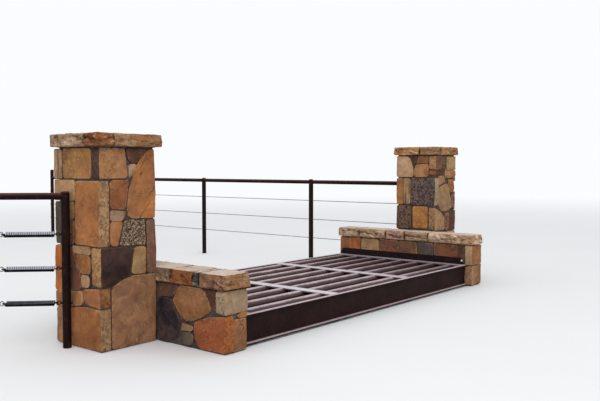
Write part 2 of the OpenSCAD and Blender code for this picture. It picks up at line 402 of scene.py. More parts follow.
def sandstone(name, main, second, fleck, flecks=0.5, sand=0.5, margin=0.35, pits=0.5, cracks=0.6, stripes=0.0,
              relief=0.003):
    """One kind of rock: two bed colours, a dark fleck colour, and how much of each pattern shows."""
    finish, place = begin_finish(name)
    spot, shade = spot_of(place)
    rim = place.attribute("rim")
    hollow = place.attribute("hollow")
    cloud = spot.noise(5.5, 5, 0.65, 0.9).steps(0.42, 0.6)
    wash = spot.noise(2.6, 2)
    middling = spot.noise(15, 4, 0.7)
    band = spot.in_layers(0.2, (0.5, 0.3, 0)).noise(5, 4, 0.6, 0.8)
    stain = spot.noise(8, 5, 0.7, 0.3).steps(0.54, 0.7)
    speck = spot.noise(36, 5, 0.8, 0.6).steps(0.53, 0.64)
    patch = spot.noise(4.2, 2).steps(0.52, 0.6)
    pit = spot.noise(75, 3, 0.7).steps(0.55, 0.62) * spot.noise(5.1, 2).steps(0.53, 0.6)
    crack = spot.noise(2.6, 3, 0.5, 0.3).line(0.006) * spot.noise(2.7, 1).steps(0.56, 0.62)
    broken = (rim + (spot.noise(30, 4, 0.75) - 0.5) * 2.2).steps(0.5, 0.95)
    grain = place.noise(300, 3, 0.8)
    tinge = spot.noise(2.1, 2, 0.5, 0.6).steps(0.44, 0.6)
    colour = cloud.blend(main, second)
    colour = (tinge * 0.16).blend(colour, AGED)
    colour = (stain * flecks).blend(colour, fleck)
    stripe = place.in_layers(0.1, (1.57, 0.1, 0)).noise(2.6, 3, 0.5, 0.3).steps(0.54, 0.6)
    colour = (stripe * stripes).blend(colour, fleck)
    colour = (speck * patch * sand).blend(colour, PALE)
    colour = (broken * margin).blend(colour, PALE)
    colour = (pit * pits).blend(colour, fleck)
    colour = (crack * cracks).blend(colour, fleck)
    light = 0.98 + (shade - 0.5) * 0.12 + (wash - 0.5) * 1.1 + (middling - 0.5) * 0.85 + (band - 0.5) * 0.5
    # Painted shade: where the relief pushed a stone in, it is a little darker.
    light = light + (grain - 0.5) * 0.3 - (hollow - 0.5) * 0.14 - pit * pits * 0.3 - crack * cracks * 0.5
    height = cloud * 0.4 - stain * 0.6 - speck * 0.35 - broken * 0.3 - pit * 0.6 - crack * 1.4 + band * 0.5
    height = height + grain * 0.12
    return end_finish(finish, place, light.dimmed(colour), 0.8 + grain * 0.16, height, relief, gloss=0.2)


def split_rock(name, pale, dark, deep, fine=1.0, hard=0.1, share=0.5):
    """The broken end of a stone: pale and dark crumbs between deep pits. A small hard value parts them
    sharply, and share is how much of the stone is pale."""
    finish, place = begin_finish(name)
    spot, shade = spot_of(place)
    chunk = spot.noise(22 * fine, 5, 0.7, 0.6).steps(share - hard, share + hard)
    crumb = spot.noise(60 * fine, 5, 0.8).steps(0.47, 0.6)
    pit = spot.noise(34 * fine, 4, 0.7, 1.5).steps(0.54, 0.64)
    wash = spot.noise(3, 2)
    grain = place.noise(300, 3, 0.8)
    colour = chunk.blend(pale, dark)
    colour = (crumb * 0.35).blend(colour, pale)
    colour = (pit * 0.8).blend(colour, deep)
    light = 1.02 + (shade - 0.5) * 0.12 + (wash - 0.5) * 0.5 + (grain - 0.5) * 0.3
    height = chunk * -0.4 + crumb * 0.25 - pit * 0.6 + grain * 0.1
    return end_finish(finish, place, light.dimmed(colour), 0.86 + grain * 0.1, height, 0.004, gloss=0.15)


ROCK = {}


def bed(kind, main, second, fleck, **amounts):
    """Adds a kind of rock that shows its bed."""
    ROCK[kind] = sandstone("rock_" + kind, srgb(*main), srgb(*second), srgb(*fleck), **amounts)


def end(kind, pale, dark, deep, **amounts):
    """Adds a kind of rock that shows its broken end."""
    ROCK[kind] = split_rock("rock_" + kind, srgb(*pale), srgb(*dark), srgb(*deep), **amounts)


bed("ochre", (152, 106, 57), (138, 94, 50), (100, 66, 38), flecks=0.4, sand=0.8)
bed("gold", (166, 114, 61), (150, 98, 52), (104, 68, 38), flecks=0.3, sand=0.5)
bed("striped", (166, 132, 98), (150, 116, 84), (86, 58, 50), flecks=0.2, stripes=0.8)
bed("drab", (134, 108, 86), (122, 97, 76), (88, 68, 54), flecks=0.3, pits=0.3)
bed("straw", (174, 138, 94), (160, 122, 80), (112, 80, 54), flecks=0.35, sand=0.5)
bed("orange", (162, 106, 62), (148, 93, 53), (112, 68, 42), flecks=0.3, sand=0.2)
bed("amber", (180, 102, 46), (160, 88, 40), (112, 62, 34), flecks=0.4, sand=0.4)
bed("blaze", (184, 104, 48), (152, 86, 44), (110, 68, 40), flecks=0.4, sand=0.3)
bed("russet", (130, 82, 53), (98, 64, 49), (62, 43, 38), flecks=0.5, sand=0.3)
bed("rust", (142, 74, 36), (124, 64, 33), (84, 46, 32), flecks=0.35, sand=0.3, cracks=0.3)
bed("honey", (160, 114, 75), (148, 102, 65), (98, 68, 48), flecks=0.4, sand=0.7, pits=0.9)
bed("tan", (166, 130, 94), (152, 114, 81), (110, 79, 56), flecks=0.4)
bed("buff", (186, 150, 116), (172, 134, 102), (132, 98, 72), flecks=0.3, sand=0.4, cracks=0.2)
bed("cream", (154, 129, 102), (142, 115, 88), (104, 80, 62), flecks=0.3, pits=0.3)
bed("brown", (144, 98, 60), (130, 86, 52), (90, 60, 42), flecks=0.45)
bed("pinkish", (148, 106, 76), (132, 92, 66), (94, 64, 50), flecks=0.4, sand=0.4)
bed("red", (144, 90, 57), (132, 80, 49), (96, 58, 42), flecks=0.4, sand=0.15)
bed("dun", (120, 82, 61), (105, 70, 53), (70, 47, 40), flecks=0.4, sand=0.3)
bed("mauve", (122, 84, 67), (106, 70, 57), (70, 46, 42), sand=0.4)
bed("liver", (104, 64, 44), (90, 55, 38), (58, 38, 32), sand=0.2, margin=0.2)
bed("purple", (46, 30, 27), (60, 41, 36), (34, 24, 23), flecks=0.4, sand=0.1, margin=0.06)
bed("maroon", (76, 48, 37), (92, 59, 43), (54, 36, 31), sand=0.15, margin=0.12)
bed("umber", (86, 60, 44), (74, 52, 40), (50, 36, 32), sand=0.2, margin=0.15)
bed("flint", (84, 74, 69), (70, 61, 57), (48, 42, 41), sand=0.3, margin=0.15, relief=0.005)
bed("charcoal", (40, 32, 33), (66, 53, 52), (26, 21, 22), flecks=0.6, sand=0.15, margin=0.06, relief=0.008)
bed("grey", (92, 80, 66), (78, 67, 57), (56, 46, 42), sand=0.3, margin=0.2, relief=0.006)
end("slate", (114, 96, 88), (56, 45, 43), (28, 23, 24), fine=1.4, hard=0.07)
end("mottled", (184, 156, 128), (54, 40, 33), (12, 8, 8), fine=2.6, hard=0.035, share=0.475)
end("dappled", (122, 97, 81), (68, 51, 45), (34, 26, 26), fine=1.5, hard=0.07)
end("broken_tan", (160, 126, 92), (122, 92, 64), (74, 55, 42))
end("broken_cream", (168, 146, 119), (140, 117, 92), (88, 70, 58))
end("broken_amber", (172, 134, 94), (144, 100, 62), (98, 68, 48))
end("broken_orange", (142, 97, 59), (112, 72, 42), (74, 50, 36))
end("broken_rust", (160, 98, 58), (136, 74, 40), (84, 50, 34))
end("broken_purple", (84, 60, 53), (66, 46, 41), (48, 34, 32))
end("broken_liver", (150, 110, 84), (100, 64, 48), (54, 36, 32), hard=0.07)
end("broken_dark", (98, 76, 66), (72, 53, 47), (44, 34, 32))
print("kinds of rock:", len(ROCK))

# %% [markdown]
# ## Laying stones
#
# A stone is a slab about 10 cm thick, cut to an outline with a few straight sides. Each side is first cut
# square through the slab, and then once more on a slope, which knocks off its front edge as a hammer does.
# A side that makes the corner of a wall or pillar gets several such blows, each at its own angle. The
# outlines are listed in centimetres on the face of the wall, from the face's lower corner. A stone at a
# corner shows its broken end on the next face, so every entry names two kinds of rock, the bed and the end,
# and a thicker stone its thickness.

# %% Cut one stone
STONE_THICK = 0.1
SPREAD = 0.0085
CORNER_SPREAD = 0.006
BLOW_EVERY = 0.14
KNOCK = (0.003, 0.008)
CORNER_KNOCK = (0.008, 0.016)
BLOW_SLOPE = (0.7, 1.4)
CHIP = (0.002, 0.01)
CORNER_CHIP = (0.002, 0.006)
ARRIS = 0.03
WORN_RIM = 0.035
WEAK_BELOW = 16
NARROWEST = 3
UP = Vector((0, 0, 1))
chance = random.Random(14)


def face_of_wall(corner, along, out, length):
    """A face to lay stones on: its lower corner, the way its outlines run, the way it looks, and its length
    in centimetres."""
    return {"corner": Vector(corner), "along": Vector(along), "out": Vector(out), "length": length}


def cut_stone(face, bed_kind, end_kind, outline, cell, thick):
    """One stone of a face, with its kinds of rock and its shade. A side at a wall's corner is an arris."""
    corner, along, out = face["corner"], face["along"], face["out"]
    points = [corner + along * (u / 100) + UP * (v / 100) for u, v in outline]
    back = [point - out * thick for point in points]
    spare = [0 if abs(out[i]) > 0.5 else 0.01 for i in range(3)]
    low = [min(p[i] for p in points + back) - spare[i] for i in range(3)]
    high = [max(p[i] for p in points + back) + spare[i] for i in range(3)]
    stone = start_slab(low, high, cell)
    middle = sum(points, Vector()) / len(points)
    width = max(u for u, v in outline) - min(u for u, v in outline)
    height = max(v for u, v in outline) - min(v for u, v in outline)
    rough = min(1.0, min(width, height) / WEAK_BELOW)
    sides = []
    for i, point in enumerate(points):
        after = (i + 1) % len(points)
        side = points[after] - point
        outward = side.cross(out)
        if outward.dot(point - middle) < 0:
            outward = -outward
        outward.normalize()
        ends = (outline[i][0], outline[after][0])
        on_arris = max(ends) < 0.1 or min(ends) > face["length"] - 0.1
        place = point + outward * (CORNER_SPREAD if on_arris else SPREAD)
        sides.append((place, outward, on_arris))
        trim(place, outward)
        blows = max(1, round(side.length / BLOW_EVERY)) if on_arris else 1
        for blow in range(blows):
            spot = (blow + 0.5) / blows - 0.5
            knock = chance.uniform(*CORNER_KNOCK) if on_arris else chance.uniform(*KNOCK) * rough
            turn = Vector()
            if on_arris:
                turn = side.normalized() * (spot * 0.08 + chance.uniform(-0.05, 0.05))
            struck = place + side * (spot + 0.5) - outward * knock
            trim(struck, outward + out * chance.uniform(*BLOW_SLOPE) + turn)
    for i, point in enumerate(points):
        blunt = (sides[i][1] + sides[i - 1][1]).normalized()
        chip = chance.uniform(*CORNER_CHIP) if outline[i][0] < 0.1 else chance.uniform(*CHIP) * rough
        trim(point - blunt * chip, blunt)
    close_up()
    for kind in (bed_kind, end_kind):
        stone.data.materials.append(ROCK[kind])
    sunk = out * chance.uniform(-0.004, 0.004)
    stone.data.transform(Matrix.Translation(sunk))
    note_shade(stone, chance.random())
    arrises = [(place, outward) for place, outward, arris in sides if arris]
    for polygon in stone.data.polygons:
        at_arris = any((place - polygon.center).dot(outward) < ARRIS for place, outward in arrises)
        facing = abs(polygon.normal.dot(out))
        polygon.material_index = 0 if facing > (0.9 if at_arris else 0.4) else 1
    near = []
    for vertex in stone.data.vertices:
        inset = min((place - vertex.co).dot(outward) for place, outward, arris in sides)
        near.append(max(0.0, 1 - inset / WORN_RIM) * rough)
    weigh(stone, "edge", near)
    note(stone, "rim", near)
    return stone


def lay_face(face, stones, cell, start=0.0, stop=1000.0, free_below=0.0):
    """Lays a list of stones on a face, their mesh cut into cells of the size given. start and stop keep clear
    of the stones that turn the corner. Below free_below there are none of those, so low stones run on."""
    laid = []
    for bed_kind, end_kind, outline, *thick in stones:
        limit = stop if max(v for u, v in outline) > free_below else face["length"]
        kept = [(min(max(u, start), limit), v) for u, v in outline]
        width = max(u for u, v in kept) - min(u for u, v in kept)
        if width < NARROWEST:
            continue
        clear = [kept[0]]
        for spot in kept[1:]:
            if spot != clear[-1] and spot != clear[0]:
                clear.append(spot)
        deep = thick[0] if thick else STONE_THICK
        laid.append(cut_stone(face, bed_kind, end_kind, clear, cell, deep))
    return laid


# %% [markdown]
# ## The stones of the near pillar
#
# This pillar stands closest, so its two visible faces are laid stone for stone. The corner between them is
# bonded: in one course the stone of the one face runs through to the corner, in the next course that of the
# other face.

# %% Outlines of the near pillar
NEAR_PILLAR_SIDE = [
    ("ochre", "broken_tan", [(13, 147.5), (53.5, 147.5), (53.5, 172.5), (13, 172.5)]),
    ("striped", "broken_tan", [(55, 147), (67.4, 147), (67.4, 172.5), (55.5, 172.5)]),
    ("tan", "broken_tan", [(36, 128), (67.4, 128), (67.4, 145.5), (36.5, 145.5)]),
    ("honey", "broken_tan", [(38, 112.5), (52, 112), (52, 126), (38, 126.5)]),
    ("liver", "broken_dark", [(38.5, 90), (52, 90), (52, 110.5), (38, 111)]),
    ("grey", "broken_dark", [(53.5, 89.5), (67.4, 89.5), (67.4, 126), (53.5, 126)]),
    ("orange", "broken_tan", [(0, 90), (35.5, 90.5), (36.5, 117), (34, 144.5), (0, 144.5)]),
    ("tan", "broken_tan", [(14.5, 82.5), (39, 82.5), (41, 88), (14.5, 88.5)]),
    ("orange", "broken_orange", [(15, 65.5), (28.5, 65.5), (36, 81), (15, 81)]),
    ("liver", "broken_rust", [(28.5, 51.5), (50.5, 49), (50.5, 87), (43, 87), (29, 63.5)]),
    ("amber", "broken_rust", [(52, 67.5), (67.4, 67.5), (67.4, 87.5), (52, 87.5)]),
    ("amber", "broken_rust", [(52, 48), (67.4, 48), (67.4, 66), (52, 66)]),
    ("tan", "broken_dark", [(16, 54.5), (26.5, 54), (27, 63.5), (16, 64)]),
    ("brown", "broken_tan", [(27, 38.5), (46, 34.5), (67.4, 33), (67.4, 46), (27, 49.5)]),
    ("red", "broken_orange", [(0, 37.5), (22.5, 39.5), (24.5, 51.5), (0, 53.5)]),
    ("orange", "broken_tan", [(0, 1), (49, 1), (49, 32), (29, 36.5), (0, 35.5)]),
    ("pinkish", "broken_tan", [(50.5, 1), (67.4, 1), (67.4, 31), (50.5, 32)]),
]
NEAR_PILLAR_FRONT = [
    ("honey", "broken_purple", [(0, 147.5), (29, 147.5), (29, 163), (26.5, 172.5), (0, 172.5)]),
    ("maroon", "broken_dark", [(31.5, 161), (39, 160.5), (50, 172.5), (28.5, 172.5)]),
    ("cream", "broken_tan", [(31, 148), (33, 148), (37.5, 159), (31, 159)]),
    ("orange", "broken_orange", [(31, 112.5), (60.2, 112), (60.2, 172.5), (52, 172.5), (41, 162),
                                 (33, 147), (28.3, 118)]),
    ("red", "broken_orange", [(11.6, 121.5), (26.2, 120.5), (30.8, 145.5), (11.6, 145.5)]),
    ("drab", "broken_tan", [(11.6, 111.5), (24, 111), (27, 118.5), (11.6, 120)]),
    ("orange", "broken_orange", [(11.6, 90), (18.5, 90), (23.5, 109.5), (11.6, 110)]),
    ("mottled", "broken_dark", [(20.5, 89.5), (47.5, 88.5), (47.5, 110.5), (26.5, 111.5)]),
    ("mauve", "broken_purple", [(50, 63), (60.2, 63), (60.2, 110), (49.5, 110)]),
    ("purple", "broken_amber", [(0, 56), (9.5, 55.5), (30.5, 63.5), (35, 87), (0, 88)], 0.12),
    ("straw", "broken_tan", [(32.5, 64), (48, 63), (48, 86.5), (36.8, 87)]),
    ("pinkish", "broken_orange", [(12, 1), (60.2, 1), (60.2, 61), (29, 62), (12, 53.5)]),
]

# %% [markdown]
# ## The stones of the far pillar
#
# The far pillar is laid the same way from what shows of it. The two faces of each pillar that the camera
# can't see are laid with the other pillar's outlines, turned half round, and stop short of the corners that
# the visible faces run through to.

# %% Outlines of the far pillar
FAR_PILLAR_SIDE = [
    ("buff", "broken_tan", [(36.5, 143.5), (63.4, 143), (63.4, 172.5), (43.5, 172.5), (36, 159)]),
    ("umber", "broken_dark", [(34.5, 158.5), (41.5, 172.5), (30, 172.5)]),
    ("brown", "broken_tan", [(12, 163), (30.5, 162.5), (28, 172.5), (12, 172.5)]),
    ("honey", "broken_orange", [(12, 143.5), (34.5, 143.5), (34, 156), (30.5, 160.5), (12, 161)]),
    ("gold", "broken_orange", [(53, 104), (63.4, 104), (63.4, 140.5), (53, 140.5)]),
    ("striped", "broken_dark", [(41, 104.5), (51, 104.5), (51, 140.5), (41, 140.5)]),
    ("slate", "broken_cream", [(0, 103), (39, 103), (39.5, 141), (0, 141.5)]),
    ("dappled", "broken_dark", [(39, 69.5), (63.4, 68.5), (63.4, 101.5), (39, 102)]),
    ("gold", "broken_orange", [(13, 70), (36, 70), (37, 100.5), (13, 101)]),
]
FAR_PILLAR_FRONT = [
    ("mauve", "broken_amber", [(0, 154), (18.5, 154.5), (19.5, 172.5), (0, 172.5)]),
    ("liver", "broken_rust", [(0, 146.5), (25, 147), (27, 150), (25, 152.5), (0, 152)]),
    ("dappled", "broken_dark", [(21, 156), (28, 154.5), (31.5, 163), (31.5, 172.5), (21.5, 172.5)]),
    ("cream", "broken_tan", [(28.5, 143), (31.5, 143), (31.5, 155), (29, 152.5)]),
    ("straw", "broken_amber", [(33.5, 153.5), (60.2, 153.5), (60.2, 172.5), (33.5, 172.5)]),
    ("honey", "broken_tan", [(33, 142.5), (45, 141.5), (60.2, 145), (60.2, 152), (33, 152)]),
    ("honey", "broken_orange", [(9.5, 130.5), (27, 136.5), (27, 142), (25, 144.5), (9.5, 144.5)]),
    ("tan", "broken_tan", [(11.5, 101.5), (17, 95.5), (27, 93.5), (39, 94.5), (50, 99.5), (44.5, 117),
                           (37, 132), (32, 134), (11.5, 128)]),
    ("orange", "broken_orange", [(43.5, 121.5), (51, 119.5), (57.5, 124), (56.5, 135), (53.5, 139.5),
                                 (38.5, 138.5), (39, 134)]),
    ("pinkish", "broken_tan", [(56, 138.5), (60.2, 137), (60.2, 143.5), (50, 141.5)]),
    ("broken_liver", "broken_dark", [(51.5, 97), (60.2, 96), (60.2, 122), (56.5, 121), (47.5, 116.5)]),
    ("maroon", "broken_dark", [(44, 66), (60.2, 66), (60.2, 93.5), (50, 96.5), (43.5, 91.5)]),
    ("broken_liver", "broken_tan", [(30, 67), (42, 67), (41.5, 91), (31.5, 91)]),
    ("tan", "broken_tan", [(0, 68), (27.5, 68), (29, 89), (19, 92.5), (10, 101), (0, 101)]),
    ("brown", "broken_tan", [(0, 34), (34, 34), (34, 64), (0, 66)]),
    ("tan", "broken_tan", [(36, 34), (60.2, 33), (60.2, 64), (36, 64)]),
    ("orange", "broken_orange", [(0, 1), (38, 1), (38, 32), (0, 32)]),
    ("pinkish", "broken_tan", [(40, 1), (60.2, 1), (60.2, 31), (40, 32)]),
]

# %% [markdown]
# ## The stones of the walls
#
# The outer side of the near wall shows in front of its pillar, and the road side of the far wall shows
# above the beams. Below the beams, and where a wall runs behind its pillar, nothing can be seen, so the
# mortar is left bare there. What shows of each wall behind its pillar is laid with a few large stones.

# %% Outlines of the walls
NEAR_WALL_OUTER = [
    ("umber", "broken_dark", [(64, 43), (84, 41.5), (84, 53), (58.5, 53)]),
    ("charcoal", "broken_dark", [(58.5, 8), (70, 1.5), (84, 1.5), (84, 39.5), (69, 41), (57, 22.5)]),
    ("brown", "broken_tan", [(22, 31), (45, 22.5), (53, 24.5), (65, 38.5), (56.5, 53), (27, 53), (16.5, 36)]),
    ("maroon", "broken_dark", [(10.5, 35.5), (14.5, 35.5), (24, 53), (10.5, 53)]),
    ("rust", "broken_rust", [(0, 1.5), (30, 1.5), (36.5, 6), (37.5, 22), (28, 28), (0, 32)]),
    ("tan", "broken_dark", [(40, 15.5), (53, 15), (52, 22), (45, 20.5), (39.5, 20.5)]),
    ("grey", "broken_dark", [(41, 3), (51, 2), (56, 8), (54, 13), (41, 13.5), (38.5, 8)]),
    ("brown", "broken_tan", [(151, 1.5), (176, 1.5), (177, 26), (151, 28)]),
    ("tan", "broken_tan", [(151, 30), (173, 28.5), (170.5, 53), (151, 53)]),
    ("orange", "broken_tan", [(178.5, 1.5), (214, 1.5), (214, 24), (179, 26)]),
    ("pinkish", "broken_tan", [(175, 28.5), (214, 26), (214, 53), (172.5, 53)]),
]
FAR_WALL_OUTER = [
    ("purple", "broken_dark", [(11.5, 1.5), (36, 1.5), (38, 26.5), (11.5, 25)]),
    ("orange", "broken_orange", [(11.5, 27), (33, 28.5), (31, 53), (11.5, 53)]),
    ("tan", "broken_tan", [(38, 1.5), (68.5, 1.5), (68.5, 22), (40, 24)]),
    ("rust", "broken_orange", [(35, 29.5), (40, 26), (68.5, 24), (68.5, 53), (33, 53)]),
    ("ochre", "broken_tan", [(135, 1.5), (163, 1.5), (160, 28), (135, 26)]),
    ("brown", "broken_tan", [(135, 28), (158, 30), (161, 53), (135, 53)]),
    ("pinkish", "broken_tan", [(165, 1.5), (214, 1.5), (214, 31), (162, 28)]),
    ("tan", "broken_tan", [(160, 30), (214, 33), (214, 53), (163, 53)]),
]
WALL_ROAD_SIDE = [
    ("maroon", "broken_tan", [(13, 24), (20, 24), (20, 53), (13, 53)]),
    ("russet", "broken_tan", [(22, 22), (55, 24), (56.5, 53), (21.5, 53)]),
    ("flint", "broken_dark", [(57, 24), (80, 22), (82, 53), (58.5, 53)]),
    ("dun", "broken_orange", [(82, 22), (109, 24), (111, 53), (84, 53)]),
    ("russet", "broken_orange", [(111, 24), (143, 22), (145, 53), (113, 53)]),
    ("tan", "broken_tan", [(145, 22), (178, 24), (175, 53), (147, 53)]),
    ("blaze", "broken_orange", [(180, 24), (196, 22), (198, 53), (177.5, 53)]),
    ("red", "broken_tan", [(198, 22), (214.2, 22), (214.2, 53), (200, 53)]),
]
NEAR_WALL_FRONT_END = [
    ("cream", "broken_cream", [(0, 34), (27.8, 34.5), (27.8, 53), (0, 53)]),
    ("ochre", "broken_tan", [(17, 29.5), (27.8, 29.5), (27.8, 33), (18, 33)]),
    ("brown", "broken_tan", [(10.5, 1.5), (27.8, 1.5), (27.8, 27.5), (10.5, 28)]),
]
FAR_WALL_FRONT_END = [
    ("orange", "buff", [(0, 28), (27.8, 29), (27.8, 53), (0, 53)]),
    ("tan", "broken_tan", [(0, 1.5), (13, 1.5), (14, 26), (0, 26)]),
    ("brown", "broken_tan", [(15, 1.5), (27.8, 1.5), (27.8, 27), (15.5, 26.5)]),
]
WALL_BACK_END = [
    ("tan", "broken_tan", [(0, 1.5), (27.8, 1.5), (27.8, 20.5), (15, 21), (13, 25), (0, 24)]),
    ("orange", "broken_orange", [(0, 26), (14, 27), (13, 53), (0, 53)]),
    ("brown", "broken_tan", [(15.5, 27.5), (27.8, 28), (27.8, 53), (14.5, 53)]),
]

# %% [markdown]
# ## Laying the four pieces of masonry
#
# Each wall and pillar is laid face by face and then joined. The finished surface gets three reliefs: the
# edges wear back, the faces swell slowly as a split bed does, and a finer pattern with creases roughens all
# of it. Only then are the sharp edges told apart from the soft ones. The outlines are in centimetres, so
# the lengths of the faces are too. The back of the near pillar stands 4 cm proud of the CAD solid, since
# its outline reaches that far.

# %% Places of the masonry
WALL_IN = 2.134
WALL_OUT = 2.412
WALL_END = 1.071
PILLAR_OUT = 3.014
NEAR_PILLAR_FRONT_Y = -0.21
NEAR_PILLAR_BACK_Y = 0.424
FAR_PILLAR_FRONT_Y = -0.372
FAR_PILLAR_BACK_Y = 0.262
WALL_TOP = 0.548
PILLAR_TOP = 1.745
PROUD = 0.04
WALL_LONG = 214.2
WALL_WIDE = 27.8
PILLAR_WIDE = 60.2
NEAR_PILLAR_DEEP = 67.4
FAR_PILLAR_DEEP = 63.4
CORNER_CLEAR = 12.5
LOW_ON_PILLAR = 65
LOW_ON_WALL = 26
FINE, MEDIUM, COARSE = 0.02, 0.024, 0.03
LEFT, RIGHT, FRONT, BACK = (-1, 0, 0), (1, 0, 0), (0, -1, 0), (0, 1, 0)


def faces_of_block(left, right, front, back, wide, deep, right_from=None):
    """The left, front, right and back face of an upright block. The outlines of the left and the front face
    start at the corner that they share, and those of the other two at the corner opposite. Where right_from
    says front, the right face starts there and runs back."""
    left_face = face_of_wall((left, front, 0), BACK, LEFT, deep)
    front_face = face_of_wall((left, front, 0), RIGHT, FRONT, wide)
    right_face = face_of_wall((right, back, 0), FRONT, RIGHT, deep)
    if right_from == "front":
        right_face = face_of_wall((right, front, 0), BACK, RIGHT, deep)
    return left_face, front_face, right_face, face_of_wall((right, back, 0), LEFT, BACK, wide)


def finish_masonry(stones, name, node):
    """Joins stones, gives them their relief, and lets them stand for the CAD solid."""
    masonry = join(stones, name)
    before = surface_of(masonry)
    roughen(masonry, size=0.06, depth=0.007, middle=1.0, group="edge")
    roughen(masonry, size=0.16, depth=0.014)
    roughen(masonry, size=0.05, depth=0.005, middle=0.4, hard=True)
    note_hollows(masonry, before, least=-0.006, most=0.01)
    smooth(masonry, 50)
    hand_over(masonry, "masonry", node)
    print(name, len(stones), "stones,", len(masonry.data.polygons), "faces")


# %% Lay the near pillar
outer, front, road, back = faces_of_block(-PILLAR_OUT, -WALL_OUT, NEAR_PILLAR_FRONT_Y,
                                          NEAR_PILLAR_BACK_Y + PROUD, PILLAR_WIDE, NEAR_PILLAR_DEEP)
stones = lay_face(outer, NEAR_PILLAR_SIDE, FINE)
stones += lay_face(front, NEAR_PILLAR_FRONT, FINE)
stones += lay_face(road, FAR_PILLAR_SIDE, COARSE, stop=FAR_PILLAR_DEEP - CORNER_CLEAR)
stones += lay_face(back, FAR_PILLAR_FRONT, COARSE, stop=PILLAR_WIDE - CORNER_CLEAR)
finish_masonry(stones, "near_pillar_stones", "near_pillar")

# %% Lay the far pillar
road, front, outer, back = faces_of_block(WALL_OUT, PILLAR_OUT, FAR_PILLAR_FRONT_Y, FAR_PILLAR_BACK_Y,
                                          PILLAR_WIDE, FAR_PILLAR_DEEP)
stones = lay_face(road, FAR_PILLAR_SIDE, COARSE)
stones += lay_face(front, FAR_PILLAR_FRONT, COARSE)
stones += lay_face(outer, NEAR_PILLAR_SIDE, COARSE, stop=FAR_PILLAR_DEEP - CORNER_CLEAR)
stones += lay_face(back, NEAR_PILLAR_FRONT, COARSE, stop=PILLAR_WIDE - CORNER_CLEAR, free_below=LOW_ON_PILLAR)
finish_masonry(stones, "far_pillar_stones", "far_pillar")

# %% Lay the near wall
outer, front, road, back = faces_of_block(-WALL_OUT, -WALL_IN, -WALL_END, WALL_END, WALL_WIDE, WALL_LONG,
                                          right_from="front")
wall_stop = WALL_LONG - CORNER_CLEAR
stones = lay_face(outer, NEAR_WALL_OUTER, FINE, stop=wall_stop)
stones += lay_face(front, NEAR_WALL_FRONT_END, FINE)
stones += lay_face(road, WALL_ROAD_SIDE, COARSE, start=CORNER_CLEAR, stop=wall_stop)
stones += lay_face(back, WALL_BACK_END, COARSE)
finish_masonry(stones, "near_wall_stones", "near_wall")

# %% Lay the far wall
road, front, outer, back = faces_of_block(WALL_IN, WALL_OUT, -WALL_END, WALL_END, WALL_WIDE, WALL_LONG,
                                          right_from="front")
stones = lay_face(road, WALL_ROAD_SIDE, MEDIUM)
stones += lay_face(front, FAR_WALL_FRONT_END, MEDIUM)
stones += lay_face(outer, FAR_WALL_OUTER, COARSE, start=CORNER_CLEAR, stop=wall_stop)
stones += lay_face(back, WALL_BACK_END, COARSE, stop=WALL_WIDE - CORNER_CLEAR, free_below=LOW_ON_WALL)
finish_masonry(stones, "far_wall_stones", "far_wall")

# %% [markdown]
# ## The mortar
#
# The joints are raked back, so each wall and pillar has a core of dark mortar that sits about 2 cm behind
# the faces of its stones. It could be a plain block, but then its corners would show as straight lines in
# the joints, so it gets a coarse relief too.

# %% Cast the mortar cores
def mortar_finish():
    """Dark grey mortar with sand in it."""
    finish, place = begin_finish("mortar")
    cloud = place.noise(9, 4, 0.6).steps(0.35, 0.7)
    sand = place.noise(300, 3, 0.8)
    pit = place.noise(60, 3, 0.7).steps(0.6, 0.72)
    colour = cloud.blend(srgb(66, 56, 54), srgb(98, 84, 78))
    colour = (pit * 0.6).blend(colour, srgb(42, 35, 35))
    return end_finish(finish, place, colour, 0.86 + sand * 0.1, sand * 0.5 - pit, 0.004, gloss=0.2)


MORTAR = mortar_finish()
RAKED = 0.02
MORTAR_CELL = 0.05


def mortar_block(name, low, high):
    """A plain block of mortar between two corners."""
    block = start_slab(low, high, MORTAR_CELL)
    bpy.ops.object.mode_set(mode="OBJECT")
    rename(block, name)
    block.data.materials.append(MORTAR)
    return block


def cast_core(name, low, high, node):
    """The mortar inside masonry that reaches from low to high, a little smaller than its stone faces."""
    core = mortar_block(name, (low[0] + RAKED, low[1] + RAKED, low[2]),
                        (high[0] - RAKED, high[1] - RAKED, high[2]))
    inside = [low[2] + SAME_POINT < vertex.co.z < high[2] - SAME_POINT for vertex in core.data.vertices]
    weigh(core, "faces", [1.0 if free else 0.0 for free in inside])
    roughen(core, size=0.05, depth=0.012, group="faces")
    hand_over(core, "masonry", node)
    print(name, len(core.data.polygons), "faces")


cast_core("near_pillar_mortar", (-PILLAR_OUT, NEAR_PILLAR_FRONT_Y, 0),
          (-WALL_OUT, NEAR_PILLAR_BACK_Y, PILLAR_TOP), "near_pillar")
cast_core("far_pillar_mortar", (WALL_OUT, FAR_PILLAR_FRONT_Y, 0),
          (PILLAR_OUT, FAR_PILLAR_BACK_Y, PILLAR_TOP), "far_pillar")
cast_core("near_wall_mortar", (-WALL_OUT, -WALL_END, 0), (-WALL_IN, WALL_END, WALL_TOP), "near_wall")
cast_core("far_wall_mortar", (WALL_IN, -WALL_END, 0), (WALL_OUT, WALL_END, WALL_TOP), "far_wall")

# %% [markdown]
# ## Coping and cap stones
#
# These are the same sandstone, but thicker, with their sides left as the hammer broke them. Rain runs over
# their tops, which have gone pale, and the finish makes upward faces paler still as painted highlight; faces
# that look down and the hollows of the broken sides are darker as painted shade, and the ridges lighter as
# painted highlight. A slab starts a little inside its true size, since its sides swell out as well as in. It
# is trimmed with sloping cuts at its upper and lower edges. On a larger slab a ledge is then pressed in that
# wanders across the broken sides, sharp above and sloping out below, and a coarse pattern with flat creases
# roughens them. Where a slab shows another colour at the end of the wall, a second kind is named for it.

# %% Rock-faced stone
PALE_WEAR_AND_HIGHLIGHT = srgb(191, 174, 159)


